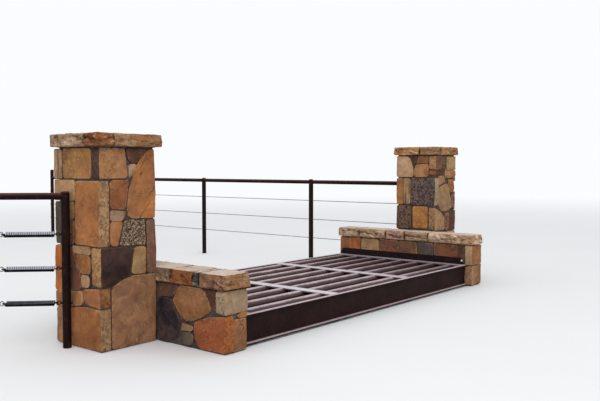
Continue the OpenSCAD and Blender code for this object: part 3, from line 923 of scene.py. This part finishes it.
def weathered(name, main, second, fleck):
    """Rock-faced stone: its broken sides have ridges painted lighter as highlight and hollows painted darker
    as shade, and its top is pale, partly from rain wear and partly as painted highlight where it faces up.
    """
    finish, place = begin_finish(name)
    spot, shade = spot_of(place)
    hollow = place.attribute("hollow")
    lift = place.upward()
    chunk = spot.noise(6.5, 4, 0.6, 0.8).steps(0.4, 0.6)
    vein = place.in_layers(0.3, (0.2, 0.1, 0)).noise(7, 3, 0.6, 0.8).line(0.02)
    speck = spot.noise(62, 4, 0.8).steps(0.58, 0.7)
    wash = spot.noise(3.5, 2)
    ragged = spot.noise(26, 4, 0.7)
    grain = place.noise(300, 3, 0.8)
    # Painted shade and highlight: deep hollows of the broken sides are darkened towards the fleck colour, and
    # proud ridges are paled.
    deep = (hollow + (ragged - 0.5) * 0.3).steps(0.7, 0.95)
    ridge = 1 - (hollow + (ragged - 0.5) * 0.3).steps(0.1, 0.4)
    colour = chunk.blend(main, second)
    colour = (speck * 0.2).blend(colour, PALE)
    colour = (ridge * 0.3).blend(colour, PALE_WEAR_AND_HIGHLIGHT)
    colour = (vein * 0.4).blend(colour, fleck)
    colour = (deep * 0.75).blend(colour, fleck)
    # Faces that look up are paler, partly rain wear and partly painted highlight.
    facing_up = lift + (chunk - 0.5) * 0.12
    wear_and_highlight = facing_up.steps(0.72, 1.0) * (0.75 + wash * 0.25)
    colour = wear_and_highlight.blend(colour, PALE_WEAR_AND_HIGHLIGHT)
    # Painted shade: faces that look down, and the hollows away from the top, are darker.
    light = 0.95 + (shade - 0.5) * 0.12 + facing_up.steps(-0.6, 0.4) * 0.3 + (wash - 0.5) * 0.6
    light = light + (ragged - 0.5) * 0.45 + (grain - 0.5) * 0.2 - (hollow - 0.5) * 0.6 * (1 - wear_and_highlight)
    height = chunk * 0.4 - vein * (0.8 - wear_and_highlight * 0.65) - speck * 0.1 + ragged * 0.5 + grain * 0.1
    return end_finish(finish, place, light.dimmed(colour), 0.82 + grain * 0.14, height, 0.008, gloss=0.2)


SLAB = {}
for kind, main, second, fleck in (
    ("tan", (163, 137, 111), (144, 112, 83), (82, 60, 46)),
    ("cream", (190, 162, 134), (158, 125, 96), (78, 56, 44)),
    ("orange", (132, 84, 49), (120, 66, 32), (70, 44, 32)),
    ("gold", (163, 121, 81), (141, 97, 59), (84, 60, 44)),
    ("mauve", (128, 92, 68), (82, 51, 36), (56, 38, 32)),
    ("rose", (190, 154, 131), (162, 121, 99), (74, 52, 44)),
    ("yellow", (146, 112, 82), (130, 88, 57), (76, 54, 40)),
    ("olive", (134, 108, 82), (110, 86, 64), (62, 47, 37)),
    ("grey", (84, 77, 70), (68, 61, 56), (46, 41, 38)),
):
    SLAB[kind] = weathered("slab_" + kind, srgb(*main), srgb(*second), srgb(*fleck))
print("kinds of slab:", len(SLAB))

# %% Break one slab
SLAB_CELL = 0.014
SWELL = 0.015
LOWERED = 0.005
SLAB_BLOW_EVERY = 0.18
# where a blow lands, how far in, how much it turns outward, and how much up or down
SLAB_BLOWS = (
    ("top", (0.003, 0.008), 1.0, (0.8, 1.6), 1),
    ("top", (0.002, 0.022), 1.6, (0.1, 0.8), 1),
    ("foot", (0.002, 0.01), 1.3, (0.4, 0.9), -1),
)
CORNER_BLOW = (0.003, 0.009)
CORNER_TURN = (0.7, 1.6)
LEDGE = 0.009
LEDGE_ABOVE = 0.01
LEDGE_BELOW = 0.022
LEDGE_CLEAR = 0.004
FULLY_BROKEN = 0.04
LONG_SLAB = 0.34
BROAD_SLAB = 0.15
ledges = random.Random(8)


def mark_ledge(slab, low, high):
    """A group of points along a ledge across the broken sides, sharp above and sloping out below."""
    level = ledges.uniform(0.45, 0.75)
    slope = ledges.uniform(-0.2, 0.2)
    phase = ledges.uniform(0, 6)
    amounts = []
    for vertex in slab.data.vertices:
        run = vertex.co.x + vertex.co.y
        wave = slope * math.sin(run * 4 + phase) + 0.1 * math.sin(run * 17 + phase * 2)
        line = low.z + (high.z - low.z) * (level + wave)
        above = vertex.co.z - line
        amount = 1 - above / LEDGE_ABOVE if above > 0 else 1 + above / LEDGE_BELOW
        amount = amount * (0.7 + 0.5 * math.sin(run * 7 + phase * 3))
        at_side = low.z + LEDGE_CLEAR < vertex.co.z < high.z - LEDGE_CLEAR
        amounts.append(min(1.0, max(0.0, amount)) if at_side else 0.0)
    weigh(slab, "ledge", amounts)


def split_slab(kinds, low, high, open_sides):
    """A rock-faced slab between two corners. open_sides lists the ways that its broken sides look. A second
    kind is for the ends that look along the road."""
    low, high = Vector(low), Vector(high)
    for way in open_sides:
        for i in range(2):
            if way[i] < 0:
                low[i] += SWELL
            if way[i] > 0:
                high[i] -= SWELL
    high.z -= LOWERED
    slab = start_slab(low, high, SLAB_CELL)
    middle = (low + high) / 2
    for way in open_sides:
        way = Vector(way)
        across = Vector((-way.y, way.x, 0))
        length = abs((high - low).dot(across))
        face = middle + way * abs((high - low).dot(way)) / 2
        edges = {"top": Vector((face.x, face.y, high.z)), "foot": Vector((face.x, face.y, low.z))}
        blows = max(2, round(length / SLAB_BLOW_EVERY))
        for blow in range(blows):
            spot = (blow + 0.5) / blows - 0.5
            along = across * spot * length
            turn = across * (spot * 0.2 + chance.uniform(-0.03, 0.03) / length)
            for edge, knock, push, rise, lift in SLAB_BLOWS:
                struck = edges[edge] + along - way * chance.uniform(*knock)
                trim(struck, way * push + UP * chance.uniform(*rise) * lift + turn)
        for to in (across, -across):
            corner = face + to * length / 2
            struck = corner - (way + to) * chance.uniform(*CORNER_BLOW)
            trim(struck, way * chance.uniform(*CORNER_TURN) + to)
    close_up()
    for kind in kinds.split():
        slab.data.materials.append(SLAB[kind])
    note_shade(slab, chance.random())
    for polygon in slab.data.polygons:
        if len(slab.data.materials) > 1 and abs(polygon.normal.y) > 0.6:
            polygon.material_index = 1
    amounts = []
    for vertex in slab.data.vertices:
        inside = min(abs(vertex.co.z - low.z), abs(vertex.co.z - high.z))
        amounts.append(min(1.0, 0.3 + inside / FULLY_BROKEN))
    weigh(slab, "broken", amounts)
    sides = (high.x - low.x, high.y - low.y)
    if max(sides) > LONG_SLAB or min(sides) > BROAD_SLAB:
        mark_ledge(slab, low, high)
    return slab


def finish_slabs(slabs, name, node):
    """Joins slabs, breaks their sides and lets them stand for the CAD node."""
    course = join(slabs, name)
    before = surface_of(course)
    press_in(course, LEDGE, "ledge")
    roughen(course, size=0.2, depth=0.018, group="broken")
    roughen(course, size=0.1, depth=0.034, middle=0.42, group="broken", hard=True, flat=0.45)
    roughen(course, size=0.03, depth=0.003, group="broken")
    note_hollows(course, before, least=-0.009, most=0.016)
    smooth(course, 34)
    hand_over(course, "coping_stone", node)
    print(name, len(slabs), "slabs,", len(course.data.polygons), "faces")


# %% [markdown]
# ## The copings
#
# A coping is a row of slabs, with its joints at uneven places along the wall. The joints are filled with
# mortar up to 2 cm below the tops, so one low block of mortar runs through the whole row, well inside its
# broken sides. The far coping stands out over the road as the near one does, but hardly at all on its outer
# side.

# %% Lay the copings
COPING_OUT = 0.042
FAR_COPING_OUT = 0.012
COPING_TOP = 0.678
COPING_FRONT = -1.113
COPING_LENGTH = 2.226
JOINT = 0.016
RECESS = 0.066
JOINT_BELOW_TOP = 0.02
MORTAR_BED = 0.004
MORTAR_BEVEL = 0.006


def point_joints(name, low, high, node):
    """The mortar in the joints between slabs, as a low block that their sides and tops stand out from."""
    filling = mortar_block(name, (low[0] + RECESS, low[1] + RECESS, low[2] - MORTAR_BED),
                           (high[0] - RECESS, high[1] - RECESS, high[2] - JOINT_BELOW_TOP))
    bevel_edges(filling, MORTAR_BEVEL)
    hand_over(filling, "masonry", node)


def lay_coping(side, outer, cuts, kinds):
    """The slabs of one coping, from the front, with the joints at the given parts of its length."""
    edges = [0.0, *cuts, 1.0]
    slabs = []
    for i, kind in enumerate(kinds):
        first, last = i == 0, i == len(kinds) - 1
        y0 = COPING_FRONT + edges[i] * COPING_LENGTH + (0 if first else JOINT / 2)
        y1 = COPING_FRONT + edges[i + 1] * COPING_LENGTH - (0 if last else JOINT / 2)
        x0, x1 = sorted((side * (WALL_IN - COPING_OUT), side * (WALL_OUT + outer)))
        ways = [LEFT, RIGHT] + ([FRONT] if first else []) + ([BACK] if last else [])
        slabs.append(split_slab(kind, (x0, y0, WALL_TOP), (x1, y1, COPING_TOP), ways))
    return slabs


coping_back = COPING_FRONT + COPING_LENGTH
point_joints("near_coping_mortar", (-WALL_OUT - COPING_OUT, COPING_FRONT, WALL_TOP),
             (-WALL_IN + COPING_OUT, coping_back, COPING_TOP), "near_coping")
point_joints("far_coping_mortar", (WALL_IN - COPING_OUT, COPING_FRONT, WALL_TOP),
             (WALL_OUT + FAR_COPING_OUT, coping_back, COPING_TOP), "far_coping")
near_coping = lay_coping(-1, COPING_OUT, [0.152, 0.186, 0.319, 0.51, 0.75],
                         ["mauve yellow", "grey", "orange", "olive", "tan", "orange"])
finish_slabs(near_coping, "near_coping_slabs", "near_coping")
far_coping = lay_coping(1, FAR_COPING_OUT, [0.313, 0.479, 0.62, 0.823],
                        ["cream", "tan", "rose", "cream", "tan"])
finish_slabs(far_coping, "far_coping_slabs", "far_coping")

# %% [markdown]
# ## The caps
#
# A cap is four slabs round two joints that don't quite meet, so that no joint runs straight through. The
# near cap is laid about a centimetre wider than the CAD solid on each side, as its slabs stand out further
# at the corners.

# %% Lay the caps
CAP_OUT = 0.05
NEAR_CAP_OUT = 0.062
CAP_TOP = 1.862


def lay_cap(low, high, front_x, back_x, along_y, kinds):
    """The four slabs of a cap between two corners, with a joint along and one across on each side of it."""
    half = JOINT / 2
    parts = [
        ((low[0], low[1]), (front_x - half, along_y - half), [LEFT, FRONT]),
        ((front_x + half, low[1]), (high[0], along_y - half), [RIGHT, FRONT]),
        ((low[0], along_y + half), (back_x - half, high[1]), [LEFT, BACK]),
        ((back_x + half, along_y + half), (high[0], high[1]), [RIGHT, BACK]),
    ]
    slabs = []
    for kind, (start, stop, ways) in zip(kinds, parts):
        slabs.append(split_slab(kind, (*start, PILLAR_TOP), (*stop, CAP_TOP), ways))
    return slabs


near_low = (-PILLAR_OUT - NEAR_CAP_OUT, NEAR_PILLAR_FRONT_Y - NEAR_CAP_OUT)
near_high = (-WALL_OUT + NEAR_CAP_OUT, NEAR_PILLAR_BACK_Y + NEAR_CAP_OUT)
far_low = (WALL_OUT - CAP_OUT, FAR_PILLAR_FRONT_Y - CAP_OUT)
far_high = (PILLAR_OUT + CAP_OUT, FAR_PILLAR_BACK_Y + CAP_OUT)
near_cap = lay_cap(near_low, near_high, front_x=-2.884, back_x=-2.653, along_y=-0.047,
                   kinds=["orange", "yellow", "tan", "tan"])
finish_slabs(near_cap, "near_cap_slabs", "near_pillar_cap")
far_cap = lay_cap(far_low, far_high, front_x=2.526, back_x=2.673, along_y=-0.126,
                  kinds=["yellow", "gold", "gold", "orange"])
finish_slabs(far_cap, "far_cap_slabs", "far_pillar_cap")
point_joints("near_cap_mortar", (*near_low, PILLAR_TOP), (*near_high, CAP_TOP), "near_pillar_cap")
point_joints("far_cap_mortar", (*far_low, PILLAR_TOP), (*far_high, CAP_TOP), "far_pillar_cap")

# %% [markdown]
# ## The steel
#
# Pipes, beams and fence are mill steel with an old brown oxide coat. The colour goes by the way a surface
# looks. On the crown of a pipe or the top of a flange it is a pale lilac grey, partly dust and wear and
# partly a painted reflection of the sky, and underneath it is dark as painted shade. The way a surface looks
# is enough to tell those places apart, so one finish serves a whole pipe. Towards the far wall the grid is
# painted darker, as the wall's shade, and the pale painted reflection on a flange is kept to its middle, so
# its edges stay darker.

# %% Steel finishes
BEAM_X = (-2.058, -0.735, 0.668, 2.058)
RUST = srgb(88, 54, 42)
FAR_WALL_SHADE_COLOUR = srgb(58, 32, 30)
BARE = srgb(224, 220, 216)


def steel(name, under, side, upper, crown, crown_from, metal=0.0, rough=0.45, wear=0.4, gloss=0.08, fleck=0.0,
          far_wall_shade=0.0, edges=0.0):
    """Old coated steel: its colours from the underside, dark as painted shade, over the side and the upper
    side, to the crown, pale with dust and a painted reflection of the sky.
    """
    finish, place = begin_finish(name)
    cloud = place.noise(5, 4, 0.6, 0.5)
    patch = place.noise(22, 5, 0.7).steps(0.52, 0.68)
    pore = place.noise(240, 3, 0.8)
    chip = place.noise(34, 3, 0.75).steps(0.68, 0.72)
    # The colours go by which way the surface faces: dark underneath as painted shade, and pale on the crown
    # with dust, wear and a painted reflection of the sky.
    ragged = place.upward() + (cloud - 0.5) * 0.3 + (pore - 0.5) * 0.06
    wear_and_highlight = ragged.steps(crown_from, min(0.99, crown_from + 0.14))
    colour = ragged.steps(-0.15, 0.3).blend(srgb(*under), srgb(*side))
    colour = ragged.steps(0.2, 0.8).blend(colour, srgb(*upper))
    colour = (patch * wear).blend(colour, RUST)
    colour = (wear_and_highlight * (1 - patch * 0.35)).blend(colour, srgb(*crown))
    colour = (chip * fleck * ragged.steps(0.3, 0.8)).blend(colour, BARE)
    # Painted shade: the grid is darker and redder towards the far wall, as the wall's shade.
    across = place.part(0)
    far_wall_shade_mask = across.steps(0.2, 1.8) * far_wall_shade
    colour = far_wall_shade_mask.blend(colour, FAR_WALL_SHADE_COLOUR)
    # The pale painted reflection on a flange top is kept to its middle, so its edges stay darker.
    if edges:
        away = [place.maths("ABSOLUTE", across - middle) for middle in BEAM_X]
        nearest = away[0]
        for other in away[1:]:
            nearest = place.maths("MINIMUM", nearest, other)
        colour = ((nearest + (cloud - 0.5) * 0.02).steps(0.05, 0.064) * edges).blend(colour, srgb(*upper))
    light = 0.96 + (pore - 0.5) * 0.16 + (cloud - 0.5) * 0.3 - far_wall_shade_mask * 0.3
    roughness = rough + patch * 0.18 + (pore - 0.5) * 0.12
    height = pore * 0.5 + patch * 0.6 - chip * 0.4
    return end_finish(finish, place, light.dimmed(colour), roughness, height, 0.0012, metal, gloss)


PIPE_STEEL = steel("pipe_steel", (14, 6, 7), (44, 24, 25), (94, 70, 72), (188, 170, 174), 0.79,
                   metal=0.1, gloss=0.2, fleck=0.8, far_wall_shade=0.4)
FLANGE_STEEL = steel("flange_steel", (20, 10, 11), (48, 32, 34), (112, 90, 95), (214, 206, 213), 0.8,
                     metal=0.1, gloss=0.25, fleck=0.5, far_wall_shade=0.35, edges=0.7)
DARK_STEEL = steel("kick_plate_steel", (20, 9, 9), (38, 20, 19), (52, 31, 29), (112, 86, 82), 0.85,
                   rough=0.6, wear=0.2, gloss=0.12)
FENCE_STEEL = steel("fence_steel", (18, 7, 6), (34, 18, 16), (92, 55, 48), (124, 90, 80), 0.88,
                    rough=0.62, wear=0.3)
FAR_FENCE_STEEL = steel("far_fence_steel", (22, 11, 9), (44, 26, 21), (82, 54, 45), (122, 88, 74), 0.85,
                        rough=0.62, wear=0.35)
CHANNEL_STEEL = steel("channel_steel", (24, 11, 11), (56, 32, 31), (106, 81, 83), (196, 178, 182), 0.76,
                      rough=0.65, wear=0.2, fleck=0.6)


def cable_finish():
    """Galvanised strand: thin wires laid slantwise, with dark lines between them."""
    finish, place = begin_finish("cable_strand")
    strand = place.maths("SINE", place.part(1) * 420 + place.part(2) * 500) * 0.5 + 0.5
    cloud = place.noise(30, 3, 0.6)
    colour = strand.steps(0.1, 0.7).blend(srgb(62, 60, 64), srgb(150, 149, 152))
    light = 0.9 + (cloud - 0.5) * 0.4
    return end_finish(finish, place, light.dimmed(colour), 0.4 + cloud * 0.2, strand, 0.0012, metal=0.7)


CABLE_STEEL = cable_finish()

# %% Dress the CAD nodes that stay
PIPE_ROWS = [f"pipe_row_{row}" for row in range(1, 9)]
BEAMS = ["near_end_beam", "near_stringer", "far_stringer", "far_end_beam"]
for finish, nodes in (
    (PIPE_STEEL, PIPE_ROWS),
    (FLANGE_STEEL, BEAMS),
    (CHANNEL_STEEL, ["front_channel", "back_channel", "bearing_plates"]),
    (DARK_STEEL, ["near_kick_plate", "far_kick_plate"]),
    (FENCE_STEEL, ["near_end_post", "near_line_post", "near_rail"]),
    (FAR_FENCE_STEEL, ["far_post_1", "far_post_2", "far_post_3", "far_post_4", "far_rail"]),
    (CABLE_STEEL, ["near_cables", "far_cables", "near_cable_eyes"]),
):
    for node in nodes:
        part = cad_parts[node]
        part.data.materials.clear()
        part.data.materials.append(finish)
    print(finish.name, "on", len(nodes), "nodes")


# %% [markdown]
# ## The fence springs
#
# A steel spring keeps each cable of the near fence taut. Such a spring is wound from one long wire, and so
# is this one: a small circle stands at the first turn, and the Screw modifier carries it round and along.
# At each end a loop of thinner wire hooks on: one to the eye of the cable, the other to an eye bolt that
# runs through the post. All of it is made once, lying along X from the middle of the post, and then copied
# up the post and turned into the line of the fence. The lowest spring gets a shaded copy of the finish, with
# a dimmer painted highlight, as painted shade.

# %% The finish of a spring
def spring_finish(name, pale):
    """Dark spring steel, with a painted highlight, the sky's reflection, on the outermost line of each turn
    on the upper half of the spring.
    """
    finish, place = begin_finish(name)
    cloud = place.noise(90, 3)
    pore = place.noise(400, 3, 0.8)
    # Painted highlight: only the outermost line of each turn on the upper half takes the pale colour.
    high = (place.attribute("upside") + (cloud - 0.5) * 0.3).steps(-0.06, 0.2)
    outermost = place.attribute("outward").steps(0.86, 0.97)
    colour = (high * outermost).blend(srgb(8, 8, 17), pale)
    light = 0.9 + (cloud - 0.5) * 0.4 + (pore - 0.5) * 0.2
    return end_finish(finish, place, light.dimmed(colour), 0.6 + pore * 0.2, pore, 0.0003, gloss=0.08)


SPRING_STEEL = spring_finish("spring_steel", srgb(202, 204, 218))
# A shaded copy of the spring finish, with a dim painted highlight: painted shade for the lowest spring.
SHADED_SPRING_STEEL = spring_finish("shaded_spring_steel", srgb(72, 74, 82))

# %% Wind one spring
END_POST = Vector((-3.0745, 0.197, 0.0))
FENCE_TURN = math.radians(135)
QUARTER = math.radians(90)
NEAR_CABLES = (0.393, 0.692, 0.991)
POST_R = 0.0365
WIRE = 0.017
SPRING_D = 0.052
SPRING_FROM = 0.09
SPRING_LONG = 0.4284
TURNS = 22
STEPS_A_TURN = 20
SAG = 0.002
LOOP_R = 0.0145
LOOP_GAP = 0.004
LOOP_WIRE = 0.01
EYE_WIRE = 0.009
EYE_BACK = 0.024
EYE_BOLT_BACK = 0.038
EYE_BOLT_R = 0.005
SOFT_EDGE = 0.0012
WASHER_R = 0.0125
WASHER = 0.0025
NUT_R = 0.011
NUT = 0.008


def wind_coil():
    """A coil of round wire along X."""
    first = (SPRING_FROM + WIRE / 2, (SPRING_D - WIRE) / 2, 0)
    coil = add(bpy.ops.mesh.primitive_circle_add, vertices=8, radius=WIRE / 2, location=first)
    winding = coil.modifiers.new("winding", "SCREW")
    winding.axis = "X"
    winding.iterations = TURNS
    winding.screw_offset = (SPRING_LONG - WIRE) / TURNS
    winding.steps = STEPS_A_TURN
    winding.render_steps = STEPS_A_TURN
    make_real(coil, winding)
    bpy.ops.object.mode_set(mode="EDIT")
    close_up()
    points = [vertex.co / (SPRING_D / 2) for vertex in coil.data.vertices]
    note(coil, "upside", [point.z for point in points])
    note(coil, "outward", [math.hypot(point.y, point.z) for point in points])
    coil.location = (0, 0, -SAG)
    settle(coil)
    return coil


def wire_loop(x, bar, upright):
    """A ring of wire round x, lying flat or standing upright along the spring."""
    turn = (QUARTER, 0, 0) if upright else (0, 0, 0)
    return add(bpy.ops.mesh.primitive_torus_add, major_segments=28, minor_segments=8, major_radius=LOOP_R,
               minor_radius=bar / 2, location=(x, 0, 0), rotation=turn)


def turned_bar(x_from, x_to, radius, sides):
    """A round or hexagonal bar along X with its edges taken off."""
    bar = add(bpy.ops.mesh.primitive_cylinder_add, vertices=sides, radius=radius, depth=x_to - x_from,
              location=((x_from + x_to) / 2, 0, 0), rotation=(0, QUARTER, 0))
    bevel_edges(bar, SOFT_EDGE)
    return bar


def copy_of(piece, shift):
    """Another piece of the same shape with its own mesh, moved."""
    twin = piece.copy()
    twin.data = piece.data.copy()
    bpy.context.scene.collection.objects.link(twin)
    twin.location = shift
    settle(twin)
    return twin


def dressed(piece, finish):
    """The same piece with one finish."""
    piece.data.materials.clear()
    piece.data.materials.append(finish)
    return piece


spring_end = SPRING_FROM + SPRING_LONG
washer_out = POST_R + WASHER
nut_out = washer_out + NUT
one_spring = join([
    dressed(wind_coil(), SPRING_STEEL),
    dressed(wire_loop(SPRING_FROM - LOOP_GAP, LOOP_WIRE, False), SPRING_STEEL),
    dressed(wire_loop(spring_end + LOOP_GAP, LOOP_WIRE, False), SPRING_STEEL),
    dressed(wire_loop(SPRING_FROM - EYE_BACK, EYE_WIRE, True), FENCE_STEEL),
    dressed(turned_bar(-nut_out - 0.001, SPRING_FROM - EYE_BOLT_BACK, EYE_BOLT_R, 16), FENCE_STEEL),
    dressed(turned_bar(-washer_out, -POST_R, WASHER_R, 24), FENCE_STEEL),
    dressed(turned_bar(-nut_out, -washer_out, NUT_R, 6), FENCE_STEEL),
    dressed(turned_bar(POST_R, washer_out, WASHER_R, 24), FENCE_STEEL),
    dressed(turned_bar(washer_out, nut_out, NUT_R, 6), FENCE_STEEL),
], "near_fence_springs")
smooth(one_spring, 40)
print("one spring:", len(one_spring.data.polygons), "faces")

# %% Hang the springs on the post
springs = [copy_of(one_spring, (0, 0, NEAR_CABLES[1])), copy_of(one_spring, (0, 0, NEAR_CABLES[2]))]
one_spring.location = (0, 0, NEAR_CABLES[0])
settle(one_spring)
# The lowest spring takes the shaded copy: painted shade.
one_spring.data.materials[0] = SHADED_SPRING_STEEL
fence_springs = join([one_spring, *springs], "near_fence_springs")
fence_springs.location = END_POST
fence_springs.rotation_euler = (0, 0, FENCE_TURN)
settle(fence_springs)
hand_over(fence_springs, "spring_steel", "near_springs")
print("springs hung:", len(springs) + 1)

# %% [markdown]
# ## Weld seams
#
# Each rail is cut hollow at its end to sit against the round post, and welded there all round. A seam is
# what two slightly fatter bars have in common, one along the rail and one up the post, so it is made by
# exactly that cut.

# %% Run the seams
LINE_POST = Vector((-4.8423, 1.9648, 0.0))
AWAY = (-0.7071, 0.7071, 0)
TOWARDS = (0.7071, -0.7071, 0)
NEAR_RAIL_Z = 1.318
FAR_RAIL_Z = 1.335
FAR_FENCE_X = 2.47
FAR_POST_Y = (1.9, 4.4, 6.9, 9.4)
RAIL_R = 0.03015
SEAM = 0.004
SEAM_TALL = 0.09
SEAM_SOFT = 0.0016
REACH = 0.06


def weld_seam(post, rail_z, along, both, finish):
    """The seam between a post and the rail that leaves it one way or both ways."""
    spot = Vector((post[0], post[1], rail_z))
    round_post = add(bpy.ops.mesh.primitive_cylinder_add, vertices=32, radius=POST_R + SEAM, depth=SEAM_TALL,
                     location=spot)
    middle = spot if both else spot + Vector(along) * REACH / 2
    heading = math.atan2(along[1], along[0])
    seam = add(bpy.ops.mesh.primitive_cylinder_add, vertices=32, radius=RAIL_R + SEAM,
               depth=REACH * 2 if both else REACH, location=middle, rotation=(0, QUARTER, heading))
    cut = seam.modifiers.new("cut", "BOOLEAN")
    cut.operation = "INTERSECT"
    cut.object = round_post
    make_real(seam, cut)
    bpy.data.objects.remove(round_post)
    bevel_edges(seam, SEAM_SOFT)
    return dressed(seam, finish)


near_seams = join([weld_seam(END_POST, NEAR_RAIL_Z, AWAY, False, FENCE_STEEL),
                   weld_seam(LINE_POST, NEAR_RAIL_Z, TOWARDS, False, FENCE_STEEL)], "near_fence_welds")
last = FAR_POST_Y[-1]
far_seams = join([weld_seam((FAR_FENCE_X, y), FAR_RAIL_Z, FRONT, y != last, FAR_FENCE_STEEL)
                  for y in FAR_POST_Y], "far_fence_welds")
for seams in (near_seams, far_seams):
    smooth(seams, 40)
    hand_over(seams, "fence_steel")
    print(seams.name, len(seams.data.polygons), "faces")


# %% [markdown]
# ## Kick plate bolts
#
# Each kick plate is held to its wall by a few anchor bolts. The one at the front end of each plate is
# galvanised and stands out pale against the dark steel, the others have been painted over with it. A bolt
# is a hexagonal head on a round washer, each with its edges taken off.

# %% Set the bolts
def galvanised():
    """Zinc, pale and a little cloudy."""
    finish, place = begin_finish("galvanised_bolt")
    cloud = place.noise(160, 3, 0.6)
    colour = cloud.steps(0.35, 0.65).blend(srgb(206, 206, 208), srgb(236, 236, 238))
    return end_finish(finish, place, colour, 0.42 + cloud * 0.2, cloud, 0.0005, metal=0.6)


ZINC = galvanised()
HEAD_WASHER_R = 0.014
HEAD_WASHER = 0.003
HEAD_R = 0.0115
HEAD_OUT = 0.012
PLATE_FACE = 2.124
BOLT_Z = 0.332
FRONT_BOLT_Y = -0.93
PAINTED_BOLT_Y = (-0.45, 0.05, 0.55, 1.0)


def plate_bolts(name, side, places, finish, slot):
    """Bolt heads on the road side of a kick plate, at the given places along it."""
    washer = turned_bar(*sorted((0, -side * HEAD_WASHER)), HEAD_WASHER_R, 24)
    nut = turned_bar(*sorted((-side * HEAD_WASHER, -side * HEAD_OUT)), HEAD_R, 6)
    head = dressed(join([washer, nut], name), finish)
    heads = [copy_of(head, (side * PLATE_FACE, y, BOLT_Z)) for y in places[1:]]
    head.location = (side * PLATE_FACE, places[0], BOLT_Z)
    settle(head)
    hand_over(join([head, *heads], name), slot)
    print(name, "at", places)


plate_bolts("near_plate_front_bolt", -1, [FRONT_BOLT_Y], ZINC, "cable_wire")
plate_bolts("far_plate_front_bolt", 1, [FRONT_BOLT_Y], ZINC, "cable_wire")
plate_bolts("near_plate_bolts", -1, PAINTED_BOLT_Y, DARK_STEEL, "dark_steel")
plate_bolts("far_plate_bolts", 1, PAINTED_BOLT_Y, DARK_STEEL, "dark_steel")

# %% [markdown]
# ## Floor and light
#
# The studio is plain: a wide pale floor, an even sky all round, and one large soft lamp high behind the
# camera, as on an overcast day. The camera sees the sky as white, and the floor fades into it far away.

# %% Floor
SKY = (0.96, 0.98, 1.0, 1.0)


def floor_finish():
    """A pale matt floor that keeps its shadows near the object and turns into the sky far away."""
    finish, place = begin_finish("studio_floor")
    cloud = place.noise(0.6, 3)
    colour = cloud.blend(srgb(236, 236, 237), srgb(240, 240, 240))
    away = place.node("ShaderNodeVectorMath", {"operation": "LENGTH"}, {0: place}, output=1)
    seen = place.node("ShaderNodeLightPath", {}, {}, output=0)
    shader = place.node("ShaderNodeBsdfPrincipled", {}, {"Base Color": colour, "Roughness": 0.9})
    sky = place.node("ShaderNodeEmission", {}, {"Color": SKY, "Strength": 1.0})
    surface = place.node("ShaderNodeMixShader", {}, {0: away.steps(9, 34) * seen, 1: shader, 2: sky})
    place.node("ShaderNodeOutputMaterial", {}, {"Surface": surface})
    return finish


floor = add(bpy.ops.mesh.primitive_plane_add, size=200, location=(0, 0, -0.002))
floor.name = "studio_floor"
floor.data.materials.append(floor_finish())

# %% Sky and lamp
sky = bpy.data.worlds.new("studio_sky")
bpy.context.scene.world = sky
sky.use_nodes = True
sky.node_tree.nodes.clear()
glow = Value(sky.node_tree, None)
ray = sky.node_tree.nodes.new("ShaderNodeLightPath")
seen = Value(sky.node_tree, ray.outputs["Is Camera Ray"])
mirrored = Value(sky.node_tree, ray.outputs["Is Glossy Ray"])
through = Value(sky.node_tree, ray.outputs["Is Transmission Ray"])
strength = 0.86 + (seen + mirrored + through).steps(0, 1) * 0.14
light = glow.node("ShaderNodeBackground", {}, {"Color": SKY, "Strength": strength})
glow.node("ShaderNodeOutputWorld", {}, {"Surface": light})

lamp = bpy.data.objects.new("soft_lamp", bpy.data.lights.new("soft_lamp", "AREA"))
bpy.context.scene.collection.objects.link(lamp)
lamp.data.size = 14
lamp.data.energy = 1750
lamp.location = (-14, -12, 14)
aim = Vector((0, 0, 0.5)) - lamp.location
lamp.rotation_euler = aim.to_track_quat("-Z", "Y").to_euler()

bpy.context.scene.view_settings.view_transform = "Standard"
print("lamp at", [round(v, 2) for v in lamp.location])
